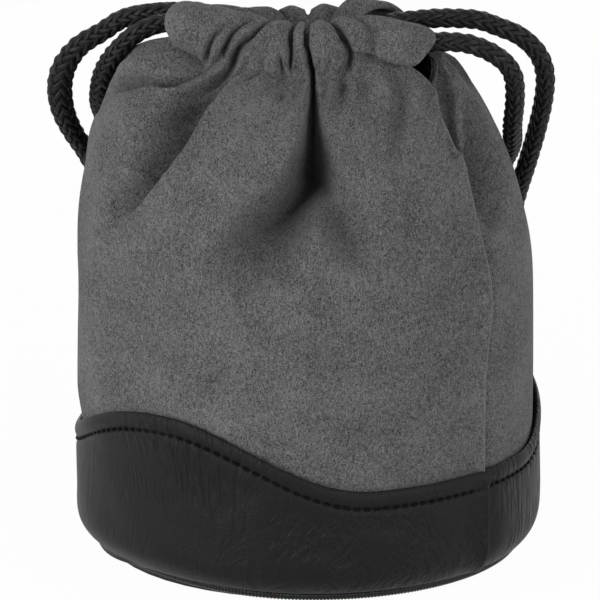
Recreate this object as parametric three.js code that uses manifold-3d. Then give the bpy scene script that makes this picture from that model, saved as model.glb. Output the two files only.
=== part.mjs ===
// A drawstring lens pouch: two gathered suede panels, a leather band sewn round the foot,
// a padded base, and two braided cords that run through a casing at the mouth.
// Millimetres, +Z up. The origin is the centre of the base and the front faces -Y.
import * as THREE from 'three';
import { mergeVertices } from 'three/addons/utils/BufferGeometryUtils.js';
import Module from 'manifold-3d';

const wasm = await Module();
wasm.setup();

const { clamp, degToRad, lerp, smoothstep } = THREE.MathUtils;

// Wall and foot
const POUCH_RADIUS = 50;
const BAND_THICKNESS = 1.2;
const SUEDE_THICKNESS = 1.4;
const SEAT_GAP = 0.3;
const FOOT_TUCK = 4;
const FOOT_ROUND = 7;

// Base stack, from the floor up
const BASE_DISC_THICKNESS = 1.4;
const WELT_SIZE = 2.6;
const WELT_LIFT = 0.3;
const BOARD_THICKNESS = 1.5;
const FOAM_THICKNESS = 6;
const LINING_THICKNESS = 0.8;

// The side seams and the open slits above them, as angles from +X round the wall
const RIGHT_SEAM = -40;
const LEFT_SEAM = 140;
const SLIT_HEIGHT = 93;
const RIGHT_SLIT_FRONT = 18;
const RIGHT_SLIT_BACK = 34;
const LEFT_SLIT_BACK = 18;
const LEFT_SLIT_FRONT = 12;

// The wave along the top of the leather band
const WAVE_LOW = 25.4;
const WAVE_CREST = 39.8;
const FRONT_CREST_ANGLE = -128;
const FRONT_WAVE_RIGHT_ANGLE = 55;
const FRONT_WAVE_LEFT_ANGLE = 63;
const BACK_CREST_ANGLE = 42;
const BACK_WAVE_ANGLE = 66;

// The gathered shoulder: the wall leans in to an oval neck, which is turned a little on the wall
const RIGHT_SHOULDER = 45;
const LEFT_SHOULDER = 65;
const RIGHT_FULLNESS = 2.7;
const LEFT_FULLNESS = 4;
const RIGHT_ROUNDNESS = 0.8;
const LEFT_ROUNDNESS = 0.6;
const STITCH_HEIGHT = 107.6;
const NECK_HALF_WIDTH = 28;
const NECK_HALF_DEPTH = 15;
const NECK_SQUARENESS = 4;
const NECK_TWIST = 30;
const TWIST_START = 60;
const TWIST_SHARPNESS = 4;

// The main folds: each is a valley at an angle on the panel, which opens out and fades downwards
const FOLD_FULL = 102;
const CASING_PLEAT = 1.5;
const DEEP_FOLD = 6.5;
const MIDDLE_FOLD = 5;
const SOFT_FOLD = 2.8;
const LONG_REACH = 62;
const MIDDLE_REACH = 72;
const SHORT_REACH = 87;
const FOLDS = [
  { angle: -190, halfWidth: 9, depth: SOFT_FOLD, reach: SHORT_REACH },
  { angle: -156, halfWidth: 17, depth: MIDDLE_FOLD, reach: MIDDLE_REACH },
  { angle: -128, halfWidth: 10, depth: SOFT_FOLD, reach: SHORT_REACH },
  { angle: -102, halfWidth: 16, depth: DEEP_FOLD, reach: LONG_REACH },
  { angle: -78, halfWidth: 11, depth: SOFT_FOLD, reach: SHORT_REACH },
  { angle: -62, halfWidth: 8, depth: SOFT_FOLD, reach: SHORT_REACH },
  { angle: 10, halfWidth: 12, depth: SOFT_FOLD, reach: SHORT_REACH },
  { angle: 36, halfWidth: 15, depth: MIDDLE_FOLD, reach: MIDDLE_REACH },
  { angle: 67, halfWidth: 15, depth: DEEP_FOLD, reach: LONG_REACH },
  { angle: 91, halfWidth: 11, depth: SOFT_FOLD, reach: SHORT_REACH },
  { angle: 112, halfWidth: 11, depth: MIDDLE_FOLD, reach: MIDDLE_REACH },
];

// The cords and the joints of their loops
const FULL_TURN = 360;
const CORD_DIAMETER = 4.6;
const CORD_PLAY = 0.3;
const LOOP_AXIS_X = 33.3;
const RIGHT_FRONT_EXIT = -8;
const RIGHT_BACK_EXIT = 6.5;
const LEFT_FRONT_EXIT = 2.2;
const LEFT_BACK_EXIT = 8;
const STUB_START_X = 22;
const KNOT_WRAP = 4.2;
const KNOT_DROP = 7;
const KNOT_TILT = 24;
const TAIL_LENGTH = 11;
const TAIL_SPLAY = 16;

// Facets
const PANEL_STEPS = 32;
const ROUND_SIDES = 48;
const CORD_SIDES = 8;
const CASING_CORD_STEPS = 36;
const STRAND_STEPS = 18;

// Sizes that follow from the ones above
const CORD_RADIUS = CORD_DIAMETER / 2;
const WALL_RADIUS = POUCH_RADIUS - BAND_THICKNESS - SEAT_GAP;
const WALL_FOOT = WELT_LIFT + WELT_SIZE + SEAT_GAP;
const ROUND_TOP = WALL_FOOT + FOOT_ROUND;
const FOOT_RADIUS = WALL_RADIUS - FOOT_TUCK;
const WELT_INNER = POUCH_RADIUS - FOOT_TUCK - WELT_SIZE;
const CHANNEL_RADIUS = CORD_RADIUS + CORD_PLAY;
const CASING_RADIUS = CHANNEL_RADIUS + SUEDE_THICKNESS;
const CORD_INSET = CASING_PLEAT + CASING_RADIUS;
const LOWER_CORD = STITCH_HEIGHT + CASING_RADIUS;
const UPPER_CORD = LOWER_CORD + CORD_DIAMETER + CORD_PLAY;
const EXIT_HEIGHT = (LOWER_CORD + UPPER_CORD) / 2;
const STUB_END_X = LOOP_AXIS_X - CORD_RADIUS - SEAT_GAP;
const SEAM_HALF_GAP = THREE.MathUtils.radToDeg(SEAT_GAP / 2 / WALL_RADIUS);
const SHOULDER_ROWS = 10;
const CASING_ROWS = 3;
const FOOT_ROWS = 3;

const suede = new THREE.MeshStandardMaterial({ color: 0x585858, roughness: 0.95, metalness: 0 });
const leather = new THREE.MeshStandardMaterial({ color: 0x2f2f30, roughness: 0.5, metalness: 0 });
const pipedLeather = new THREE.MeshStandardMaterial({ color: 0x242425, roughness: 0.4, metalness: 0 });
const boardGrey = new THREE.MeshStandardMaterial({ color: 0x6f6a62, roughness: 0.9, metalness: 0 });
const foamBlack = new THREE.MeshStandardMaterial({ color: 0x3a3a3a, roughness: 1, metalness: 0 });
const liningCloth = new THREE.MeshStandardMaterial({ color: 0x4a4a4a, roughness: 0.95, metalness: 0 });
const braid = new THREE.MeshStandardMaterial({ color: 0x1a1a1b, roughness: 0.75, metalness: 0 });

// The neck is a squarish oval, and what lies inside it is the same oval drawn in by an inset.
function neckRadius(angle, inset) {
  const across = Math.abs(Math.cos(angle)) / (NECK_HALF_WIDTH - inset);
  const along = Math.abs(Math.sin(angle)) / (NECK_HALF_DEPTH - inset);
  return (across ** NECK_SQUARENESS + along ** NECK_SQUARENESS) ** (-1 / NECK_SQUARENESS);
}

// An angle on the panels, turned by the twist that gathering gives the cloth at a height.
function turnedAngle(panelAngle, height) {
  const share = clamp((height - TWIST_START) / (STITCH_HEIGHT - TWIST_START), 0, 1);
  return degToRad(panelAngle + NECK_TWIST * share ** TWIST_SHARPNESS);
}

// The wall before it is folded: upright, rounded in at the foot, leaning in to the neck above.
function wallRadius(angle, height) {
  const leftward = ((1 - Math.cos(angle)) / 2) ** 2;
  const start = lerp(RIGHT_SHOULDER, LEFT_SHOULDER, leftward);
  const rise = clamp((height - start) / (STITCH_HEIGHT - start), 0, 1);
  const fullness = lerp(RIGHT_FULLNESS, LEFT_FULLNESS, leftward);
  const roundness = lerp(RIGHT_ROUNDNESS, LEFT_ROUNDNESS, leftward);
  const neck = neckRadius(angle, 0);
  const foot = clamp((ROUND_TOP - height) / FOOT_ROUND, 0, 1);
  return neck + (WALL_RADIUS - neck) * (1 - rise ** fullness) ** roundness - FOOT_TUCK * foot ** 2;
}

// How deep the folds are at a point. Through the casing every fold is one shallow pleat.
function foldDepth(panelAngle, height) {
  const casingShare = smoothstep(height, FOLD_FULL, STITCH_HEIGHT);
  let deepest = 0;
  for (const fold of FOLDS) {
    const turn = THREE.MathUtils.euclideanModulo(panelAngle - fold.angle + FULL_TURN / 2, FULL_TURN) - FULL_TURN / 2;
    if (Math.abs(turn) < fold.halfWidth) {
      const shape = (1 + Math.cos(Math.PI * turn / fold.halfWidth)) / 2;
      const onWall = fold.depth * smoothstep(height, fold.reach, FOLD_FULL);
      deepest = Math.max(deepest, shape * lerp(onWall, CASING_PLEAT, casingShare));
    }
  }
  return deepest;
}

// A point on the outside of the suede, or outside it by an outset.
function skinPoint(panelAngle, height, outset = 0) {
  const angle = turnedAngle(panelAngle, height);
  const radius = wallRadius(angle, height) - foldDepth(panelAngle, height) + outset;
  return new THREE.Vector3(radius * Math.cos(angle), radius * Math.sin(angle), height);
}

// The same point on the inside of the suede, one thickness in along the normal.
function liningPoint(panelAngle, height) {
  const turn = 0.5;
  const climb = 0.2;
  const around = skinPoint(panelAngle + turn, height).sub(skinPoint(panelAngle - turn, height));
  const upward = skinPoint(panelAngle, height + climb).sub(skinPoint(panelAngle, height - climb));
  const normal = around.cross(upward).normalize();
  return skinPoint(panelAngle, height).addScaledVector(normal, -SUEDE_THICKNESS);
}

// A point inside the casing, by its inset from the neck's outline.
function casingPoint(panelAngle, inset, height) {
  const angle = turnedAngle(panelAngle, height);
  const radius = neckRadius(angle, inset);
  return new THREE.Vector3(radius * Math.cos(angle), radius * Math.sin(angle), height);
}

// A panel's edge runs along its seam, and above the bar tack it draws back to open the slit.
function panelEdge(seam, slit, height) {
  const opening = slit * smoothstep(height, SLIT_HEIGHT, LOWER_CORD);
  return seam + Math.sign(slit) * SEAM_HALF_GAP + opening;
}

function steps(from, to, count) {
  return Array.from({ length: count + 1 }, (_, index) => lerp(from, to, index / count));
}

// A closed solid through equal rings of points. A ring starts at its lowest point, climbs one side
// to its top and comes down the other, so its two sides can be laced together to close an end.
// Both sides of a wall are split along the same short diagonals, which keeps it smooth where it twists.
function loft(rings) {
  const size = rings[0].length;
  const triangles = [];
  for (let ring = 0; ring + 1 < rings.length; ring += 1) {
    for (let point = 0; point < size; point += 1) {
      const next = (point + 1) % size;
      const here = ring * size;
      const ahead = here + size;
      if (rings[ring][next].z > rings[ring][point].z) {
        triangles.push(here + point, here + next, ahead + point);
        triangles.push(here + next, ahead + next, ahead + point);
      } else {
        triangles.push(here + point, here + next, ahead + next);
        triangles.push(here + point, ahead + next, ahead + point);
      }
    }
  }
  const last = (rings.length - 1) * size;
  for (const [a, b, c] of lacedTriangles(rings[0])) {
    triangles.push(a, c, b);
  }
  for (const [a, b, c] of lacedTriangles(rings.at(-1))) {
    triangles.push(last + a, last + b, last + c);
  }
  const geometry = new THREE.BufferGeometry();
  const positions = rings.flat().flatMap((point) => point.toArray());
  geometry.setAttribute('position', new THREE.Float32BufferAttribute(positions, 3));
  geometry.setIndex(triangles);
  return facingOut(geometry);
}

function lacedTriangles(ring) {
  const triangles = [];
  let climbing = 0;
  let falling = ring.length - 1;
  while (falling - climbing > 1) {
    if (ring[climbing + 1].z < ring[falling - 1].z) {
      triangles.push([climbing, climbing + 1, falling]);
      climbing += 1;
    } else {
      triangles.push([climbing, falling - 1, falling]);
      falling -= 1;
    }
  }
  return triangles;
}

function signedVolume(geometry) {
  const place = geometry.getAttribute('position');
  const index = geometry.getIndex();
  const corner = [new THREE.Vector3(), new THREE.Vector3(), new THREE.Vector3()];
  let volume = 0;
  for (let at = 0; at < index.count; at += 3) {
    corner.forEach((point, side) => point.fromBufferAttribute(place, index.getX(at + side)));
    volume += corner[0].dot(corner[1].cross(corner[2])) / 6;
  }
  return volume;
}

function facingOut(geometry) {
  if (signedVolume(geometry) < 0) {
    geometry.setIndex(Array.from(geometry.getIndex().array).reverse());
  }
  return geometry;
}

// Joining and cutting
function toSolid(geometry) {
  const bare = geometry.clone();
  bare.deleteAttribute('normal');
  bare.deleteAttribute('uv');
  const merged = mergeVertices(bare, 1e-4);
  const vertProperties = new Float32Array(merged.getAttribute('position').array);
  const triVerts = new Uint32Array(merged.getIndex().array);
  return new wasm.Manifold(new wasm.Mesh({ numProp: 3, vertProperties, triVerts }));
}

function toGeometry(solid) {
  const mesh = solid.getMesh();
  const geometry = new THREE.BufferGeometry();
  geometry.setAttribute('position', new THREE.Float32BufferAttribute(mesh.vertProperties, 3));
  geometry.setIndex(Array.from(mesh.triVerts));
  return geometry;
}

// Suede panels
// The rows of the shoulder crowd together towards the neck, where the cloth turns in fastest.
function shoulderHeight(share) {
  return lerp(STITCH_HEIGHT, RIGHT_SHOULDER, (1 - share) ** 1.5);
}

// The section goes up the outside, over the casing, down its hem and back down the inside.
function panelRing(angleAt, share) {
  const outside = [
    ...steps(WALL_FOOT, ROUND_TOP, FOOT_ROWS),
    (ROUND_TOP + RIGHT_SHOULDER) / 2,
    ...steps(0, 1, SHOULDER_ROWS).map(shoulderHeight),
    ...steps(STITCH_HEIGHT, UPPER_CORD, CASING_ROWS).slice(1),
  ];
  const inside = outside.filter((height) => height < STITCH_HEIGHT - CORD_RADIUS).reverse();
  const roll = (turn, centre) => {
    const height = centre + CASING_RADIUS * Math.sin(degToRad(turn));
    const inset = CORD_INSET + CASING_RADIUS * Math.cos(degToRad(turn));
    return casingPoint(angleAt(share, height), inset, height);
  };
  return [
    ...outside.map((height) => skinPoint(angleAt(share, height), height)),
    ...[135, 90, 45, 0].map((turn) => roll(turn, UPPER_CORD)),
    ...[0, -45, -90].map((turn) => roll(turn, LOWER_CORD)),
    ...inside.map((height) => liningPoint(angleAt(share, height), height)),
  ];
}

// The channel holds the two cords, one above the other, and comes out at both ends of the casing.
function channelRing(panelAngle) {
  const turns = [-90, -54, -18, 18, 54, 90, 126, 162, 198, 234];
  return turns.map((turn) => {
    const rise = Math.sin(degToRad(turn));
    const centre = rise > 0 ? UPPER_CORD : LOWER_CORD;
    const inset = CORD_INSET + CHANNEL_RADIUS * Math.cos(degToRad(turn));
    return casingPoint(panelAngle, inset, centre + CHANNEL_RADIUS * rise);
  });
}

function suedePanel(startSeam, startSlit, endSeam, endSlit) {
  const angleAt = (share, height) => lerp(
    panelEdge(startSeam, startSlit, height),
    panelEdge(endSeam, -endSlit, height),
    share,
  );
  const wall = loft(steps(0, 1, PANEL_STEPS).map((share) => panelRing(angleAt, share)));
  const channel = loft(steps(startSeam, endSeam, PANEL_STEPS).map(channelRing));
  return toGeometry(toSolid(wall).subtract(toSolid(channel)));
}

// Leather bands
function waveTop(crest, rightward, leftward, panelAngle) {
  const turn = panelAngle - crest;
  const reach = turn > 0 ? rightward : leftward;
  const share = clamp(Math.abs(turn) / reach, 0, 1);
  return lerp(WAVE_CREST, WAVE_LOW, (1 - Math.cos(Math.PI * share)) / 2);
}

function leatherBand(startSeam, endSeam, topAt) {
  const first = startSeam + SEAM_HALF_GAP;
  const last = endSeam - SEAM_HALF_GAP;
  const rings = steps(first, last, PANEL_STEPS).map((panelAngle) => {
    const heights = [...steps(WALL_FOOT, ROUND_TOP, FOOT_ROWS), topAt(panelAngle)];
    const inner = heights.map((height) => skinPoint(panelAngle, height, SEAT_GAP));
    const outer = heights.map((height) => skinPoint(panelAngle, height, SEAT_GAP + BAND_THICKNESS));
    return [...inner, ...outer.reverse()];
  });
  return loft(rings);
}

// Base pieces are turned from a profile that starts and ends on the axis.
function turnedDisc(bottom, thickness, bottomRadius, topRadius) {
  const profile = [
    new THREE.Vector2(0, bottom),
    new THREE.Vector2(bottomRadius, bottom),
    new THREE.Vector2(topRadius, bottom + thickness),
    new THREE.Vector2(0, bottom + thickness),
  ];
  return new THREE.LatheGeometry(profile, ROUND_SIDES).rotateX(Math.PI / 2);
}

function weltRing() {
  const ring = new THREE.TorusGeometry(WELT_INNER + WELT_SIZE / 2, WELT_SIZE / 2, 6, ROUND_SIDES);
  return ring.translate(0, 0, WELT_LIFT + WELT_SIZE / 2);
}

// Cords
function cordTube(curve, stepCount) {
  const section = new THREE.Shape().absarc(0, 0, CORD_RADIUS, 0, Math.PI * 2);
  const options = { steps: stepCount, curveSegments: CORD_SIDES / 2, bevelEnabled: false, extrudePath: curve };
  return new THREE.ExtrudeGeometry(section, options);
}

function casingCord(firstAngle, lastAngle, height) {
  const route = steps(firstAngle, lastAngle, CASING_CORD_STEPS);
  const points = route.map((panelAngle) => casingPoint(panelAngle, CORD_INSET, height));
  return cordTube(new THREE.CatmullRomCurve3(points), CASING_CORD_STEPS);
}

// From either level in the casing the cords slope to the same height where they come out.
function cordStub(side, exit, height) {
  const start = new THREE.Vector3(side * STUB_START_X, exit, height);
  const end = new THREE.Vector3(side * LOOP_AXIS_X, exit, EXIT_HEIGHT);
  end.lerpVectors(start, end, (STUB_END_X - STUB_START_X) / (LOOP_AXIS_X - STUB_START_X));
  return cordTube(new THREE.LineCurve3(start, end), 1);
}

// A strand starts in a round end on the axis that its loop swings about.
function strand(route) {
  const points = route.map((place) => new THREE.Vector3(...place));
  const tube = toSolid(cordTube(new THREE.CatmullRomCurve3(points), STRAND_STEPS));
  const ball = new THREE.SphereGeometry(CORD_RADIUS, CORD_SIDES, CORD_SIDES / 2).translate(...route[0]);
  return toGeometry(tube.add(toSolid(ball)));
}

// The knot at the end of a pair of strands: two tilted wraps round a core, with two short tails.
function knot(firstEnd, secondEnd) {
  const first = new THREE.Vector3(...firstEnd);
  const second = new THREE.Vector3(...secondEnd);
  const centre = first.clone().lerp(second, 0.5);
  centre.z -= KNOT_DROP;
  const acrossAngle = Math.atan2(second.y - first.y, second.x - first.x);
  const place = (geometry) => toSolid(geometry.rotateZ(acrossAngle).translate(...centre.toArray()));
  const core = new THREE.SphereGeometry(KNOT_WRAP, 12, 8);
  let solid = place(core);
  for (const tilt of [KNOT_TILT, -KNOT_TILT]) {
    const wrap = new THREE.TorusGeometry(KNOT_WRAP, CORD_RADIUS, CORD_SIDES, 16);
    solid = solid.add(place(wrap.rotateY(degToRad(tilt))));
  }
  const spread = first.distanceTo(second) / 2;
  for (const side of [-1, 1]) {
    const neckLength = KNOT_DROP - 3 * SEAT_GAP;
    const neck = new THREE.CylinderGeometry(CORD_RADIUS, CORD_RADIUS, neckLength, CORD_SIDES);
    neck.rotateX(Math.PI / 2).translate(side * spread, 0, neckLength / 2);
    solid = solid.add(place(neck));
    const tail = new THREE.CylinderGeometry(CORD_RADIUS, CORD_RADIUS, TAIL_LENGTH, CORD_SIDES);
    tail.rotateX(Math.PI / 2).translate(0, 0, -TAIL_LENGTH / 2);
    tail.rotateY(degToRad(side * -TAIL_SPLAY)).translate(side * CORD_RADIUS / 2, 0, 0);
    solid = solid.add(place(tail));
  }
  return toGeometry(solid);
}

// The free strands leave through the slits, arch out and hang down behind the pouch.
const RIGHT_FRONT_ROUTE = [
  [LOOP_AXIS_X, RIGHT_FRONT_EXIT, EXIT_HEIGHT],
  [36.6, -7.8, 112.9],
  [39.6, -7, 110.9],
  [42.4, -5.2, 107.9],
  [44, -2, 103.6],
  [44.3, 3, 97.4],
  [43.9, 10, 90],
  [43.5, 18.5, 82.8],
  [41.5, 26.8, 76],
  [39, 33, 68.5],
  [37, 38, 59],
  [35.6, 42, 49],
  [34.8, 45, 41],
  [34.6, 46.3, 34],
];
const RIGHT_BACK_ROUTE = [
  [LOOP_AXIS_X, RIGHT_BACK_EXIT, EXIT_HEIGHT],
  [36.8, 7, 113.8],
  [40.6, 8.2, 112.3],
  [44.9, 9.6, 109.5],
  [48.4, 11.5, 105.3],
  [50.4, 13.5, 100.4],
  [50.6, 16, 94.3],
  [49.3, 20, 85.5],
  [47.3, 24.5, 76.6],
  [45.6, 28.8, 69.5],
  [43.4, 34, 59],
  [41.2, 38.8, 48.5],
  [39.6, 42.2, 40],
  [38.8, 43.6, 34],
];
const LEFT_FRONT_ROUTE = [
  [-LOOP_AXIS_X, LEFT_FRONT_EXIT, EXIT_HEIGHT],
  [-36.6, 2.8, 112.2],
  [-39.6, 4.8, 109.2],
  [-42.2, 8, 105.5],
  [-44.1, 12.5, 101],
  [-45, 17.6, 96],
  [-45.1, 22.3, 91],
  [-43, 28.5, 84],
  [-39.8, 34, 74.5],
  [-36.8, 38.8, 63],
  [-34.6, 42.6, 51],
  [-33.3, 45.6, 41],
  [-33, 46.6, 34],
];
const LEFT_BACK_ROUTE = [
  [-LOOP_AXIS_X, LEFT_BACK_EXIT, EXIT_HEIGHT],
  [-36.8, 9.2, 114.2],
  [-40.4, 10.8, 112.9],
  [-44.2, 12, 110],
  [-48.8, 13.2, 106.4],
  [-52, 14.6, 102],
  [-53.3, 16.2, 97],
  [-52.9, 18.2, 91.2],
  [-51, 20.8, 85.7],
  [-47.9, 24.4, 79.5],
  [-44.5, 29.5, 71],
  [-41.8, 35, 60.5],
  [-39.6, 39.8, 49],
  [-38.2, 43.2, 40],
  [-37.6, 44.6, 34],
];

const frontStart = LEFT_SEAM - FULL_TURN;
const backEnd = LEFT_SEAM;
const boardBottom = BASE_DISC_THICKNESS + SEAT_GAP;
const foamBottom = boardBottom + BOARD_THICKNESS + SEAT_GAP;
const liningBottom = foamBottom + FOAM_THICKNESS + SEAT_GAP;
const discRadius = WELT_INNER - SEAT_GAP;
const padFootRadius = FOOT_RADIUS - SUEDE_THICKNESS - SEAT_GAP;
const padTopRadius = WALL_RADIUS - SUEDE_THICKNESS - SEAT_GAP;
const frontWave = (angle) => waveTop(FRONT_CREST_ANGLE, FRONT_WAVE_RIGHT_ANGLE, FRONT_WAVE_LEFT_ANGLE, angle);
const backWave = (angle) => waveTop(BACK_CREST_ANGLE, BACK_WAVE_ANGLE, BACK_WAVE_ANGLE, angle);

const pieces = [
  ['suede_front_panel', suede, suedePanel(frontStart, LEFT_SLIT_FRONT, RIGHT_SEAM, RIGHT_SLIT_FRONT)],
  ['suede_back_panel', suede, suedePanel(RIGHT_SEAM, RIGHT_SLIT_BACK, backEnd, LEFT_SLIT_BACK)],
  ['leather_band_front', leather, leatherBand(frontStart, RIGHT_SEAM, frontWave)],
  ['leather_band_back', leather, leatherBand(RIGHT_SEAM, backEnd, backWave)],
  ['base_disc', leather, turnedDisc(0, BASE_DISC_THICKNESS, discRadius, discRadius)],
  ['base_welt', pipedLeather, weltRing()],
  ['base_board', boardGrey, turnedDisc(boardBottom, BOARD_THICKNESS, discRadius, discRadius)],
  ['base_foam_pad', foamBlack, turnedDisc(foamBottom, FOAM_THICKNESS, padFootRadius, padTopRadius)],
  ['base_lining_disc', liningCloth, turnedDisc(liningBottom, LINING_THICKNESS, padTopRadius, padTopRadius)],
  ['right_cord_in_casing', braid, casingCord(RIGHT_SEAM + RIGHT_SLIT_BACK,
    RIGHT_SEAM + FULL_TURN - RIGHT_SLIT_FRONT, UPPER_CORD)],
  ['left_cord_in_casing', braid, casingCord(frontStart + LEFT_SLIT_FRONT,
    backEnd - LEFT_SLIT_BACK, LOWER_CORD)],
  ['right_front_cord_exit', braid, cordStub(1, RIGHT_FRONT_EXIT, UPPER_CORD)],
  ['right_back_cord_exit', braid, cordStub(1, RIGHT_BACK_EXIT, UPPER_CORD)],
  ['left_front_cord_exit', braid, cordStub(-1, LEFT_FRONT_EXIT, LOWER_CORD)],
  ['left_back_cord_exit', braid, cordStub(-1, LEFT_BACK_EXIT, LOWER_CORD)],
  ['right_front_strand', braid, strand(RIGHT_FRONT_ROUTE)],
  ['right_back_strand', braid, strand(RIGHT_BACK_ROUTE)],
  ['left_front_strand', braid, strand(LEFT_FRONT_ROUTE)],
  ['left_back_strand', braid, strand(LEFT_BACK_ROUTE)],
  ['right_knot', braid, knot(RIGHT_FRONT_ROUTE.at(-1), RIGHT_BACK_ROUTE.at(-1))],
  ['left_knot', braid, knot(LEFT_FRONT_ROUTE.at(-1), LEFT_BACK_ROUTE.at(-1))],
];

const pouch = new THREE.Group();
pouch.name = 'lens_pouch';
for (const [name, material, geometry] of pieces) {
  const mesh = new THREE.Mesh(geometry, material);
  mesh.name = name;
  pouch.add(mesh);
}

export default pouch;
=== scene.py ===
"""A drawstring lens pouch in grey suede, with a black leather foot and braided cords, on a white table."""

import math

import bmesh
import bpy
import numpy as np
from mathutils import Matrix, Vector


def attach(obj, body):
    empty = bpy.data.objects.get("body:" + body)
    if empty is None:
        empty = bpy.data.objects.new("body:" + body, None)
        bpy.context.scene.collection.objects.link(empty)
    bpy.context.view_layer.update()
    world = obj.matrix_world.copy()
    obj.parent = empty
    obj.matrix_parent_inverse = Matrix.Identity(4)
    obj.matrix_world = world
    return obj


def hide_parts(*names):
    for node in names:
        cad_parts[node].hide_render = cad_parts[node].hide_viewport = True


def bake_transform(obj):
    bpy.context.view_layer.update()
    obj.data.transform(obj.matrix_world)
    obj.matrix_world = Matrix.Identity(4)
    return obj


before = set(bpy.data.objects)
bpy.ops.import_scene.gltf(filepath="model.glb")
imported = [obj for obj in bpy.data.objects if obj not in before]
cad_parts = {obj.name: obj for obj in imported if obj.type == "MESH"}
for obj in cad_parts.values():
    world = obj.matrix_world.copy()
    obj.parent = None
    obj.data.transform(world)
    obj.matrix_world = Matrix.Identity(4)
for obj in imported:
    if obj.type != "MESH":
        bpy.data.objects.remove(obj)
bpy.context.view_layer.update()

# Camera
# The pouch is seen from the front and from a little above, through a long lens,
# so that it stands almost without perspective and fills the square picture.
MM = 0.001
VIEW_ELEVATION = math.radians(17)
VIEW_DISTANCE = 3000 * MM
VIEW_CENTRE = Vector((-1.7, 0, 53.45)) * MM
LENS_LENGTH = 837

toward_camera = Vector((0, -math.cos(VIEW_ELEVATION), math.sin(VIEW_ELEVATION)))
camera_data = bpy.data.cameras.new("camera")
camera_data.lens = LENS_LENGTH
camera = bpy.data.objects.new("camera", camera_data)
camera.location = VIEW_CENTRE + toward_camera * VIEW_DISTANCE
camera.rotation_euler = toward_camera.to_track_quat("Z", "Y").to_euler()
bpy.context.scene.collection.objects.link(camera)
bpy.context.scene.camera = camera
bpy.context.scene.view_settings.view_transform = "Standard"

# Studio light
# A large soft box lights the pouch from the left and a weaker one from the right, both from well to the
# side, so that the folds stay dark. A third stands behind. The dim room shows as plain white.
SOFT_BOXES = {
    "left_box": {"place": (-0.84, -0.66, 0.36), "size": 0.7, "power": 9.6},
    "right_box": {"place": (0.73, -0.71, 0.36), "size": 0.6, "power": 5.2},
    "back_box": {"place": (0.2, 1.05, 0.4), "size": 0.8, "power": 4.5},
}
ROOM_LIGHT = 0.3
WHITE = (1, 1, 1, 1)

for box_name, box in SOFT_BOXES.items():
    lamp = bpy.data.lights.new(box_name, "AREA")
    lamp.shape = "SQUARE"
    lamp.size = box["size"]
    lamp.energy = box["power"]
    stand = bpy.data.objects.new(box_name, lamp)
    stand.location = box["place"]
    aim = Vector(box["place"]) - VIEW_CENTRE
    stand.rotation_euler = aim.to_track_quat("Z", "Y").to_euler()
    bpy.context.scene.collection.objects.link(stand)


def add_node(tree, kind, inputs=None, operation="", data_type="", group=None):
    """A new shader node. Each input given is set to a value or linked to another node's output."""
    node = tree.nodes.new("ShaderNode" + kind)
    if operation:
        node.operation = operation
    if data_type:
        node.data_type = data_type
    if group:
        node.node_tree = group
    for name, value in (inputs or {}).items():
        if isinstance(value, bpy.types.NodeSocket):
            tree.links.new(value, node.inputs[name])
        else:
            node.inputs[name].default_value = value
    return node


def reckon(tree, operation, *values):
    """The result of a sum on values and on other nodes' outputs."""
    return add_node(tree, "Math", dict(enumerate(values)), operation=operation).outputs[0]


def background_share(tree):
    """One where a ray from the camera, a reflection or a clear pane meets the background, else nought."""
    rays = add_node(tree, "LightPath").outputs
    seen = reckon(tree, "MAXIMUM", rays["Is Camera Ray"], rays["Is Glossy Ray"])
    return reckon(tree, "MAXIMUM", seen, rays["Is Transmission Ray"])


def mix_shaders(tree, share, lit, plain, output):
    """Shows a plain shader by a share, else a lit one."""
    mix = add_node(tree, "MixShader", {"Fac": share, 1: lit.outputs[0], 2: plain.outputs[0]})
    add_node(tree, output, {"Surface": mix.outputs[0]})


room = bpy.data.worlds.new("room")
room.use_nodes = True
room.node_tree.nodes.clear()
room_glow = add_node(room.node_tree, "Background", {"Color": WHITE, "Strength": ROOM_LIGHT})
room_white = add_node(room.node_tree, "Background", {"Color": WHITE})
mix_shaders(room.node_tree, background_share(room.node_tree), room_glow, room_white, "OutputWorld")
bpy.context.scene.world = room

# Table
# A wide white sheet that the pouch stands on. It glows enough to read as white in the picture,
# and the rest of its brightness is lit, so that the pouch keeps a soft shadow under it.
TABLE_WIDTH = 8.0
TABLE_DROP = 0.05
TABLE_GLOW = 0.97
TABLE_WHITE = 0.82


def new_piece(name, shape):
    """An object with smooth faces, made from a shape that isn't needed any more."""
    for face in shape.faces:
        face.smooth = True
    mesh = bpy.data.meshes.new(name)
    shape.to_mesh(mesh)
    shape.free()
    piece = bpy.data.objects.new(name, mesh)
    bpy.context.scene.collection.objects.link(piece)
    return piece


table_shape = bmesh.new()
bmesh.ops.create_grid(table_shape, x_segments=1, y_segments=1, size=TABLE_WIDTH / 2)
table = new_piece("table", table_shape)
table.location.z = -TABLE_DROP * MM

table_white = bpy.data.materials.new("table_white")
table_white.use_nodes = True
table_tree = table_white.node_tree
table_tree.nodes.clear()
table_lit = add_node(table_tree, "BsdfDiffuse", {"Color": (TABLE_WHITE, TABLE_WHITE, TABLE_WHITE, 1)})
table_glow = add_node(table_tree, "Emission")
table_seen = reckon(table_tree, "MULTIPLY", background_share(table_tree), TABLE_GLOW)
mix_shaders(table_tree, table_seen, table_lit, table_glow, "OutputMaterial")
table.data.materials.append(table_white)

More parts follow.
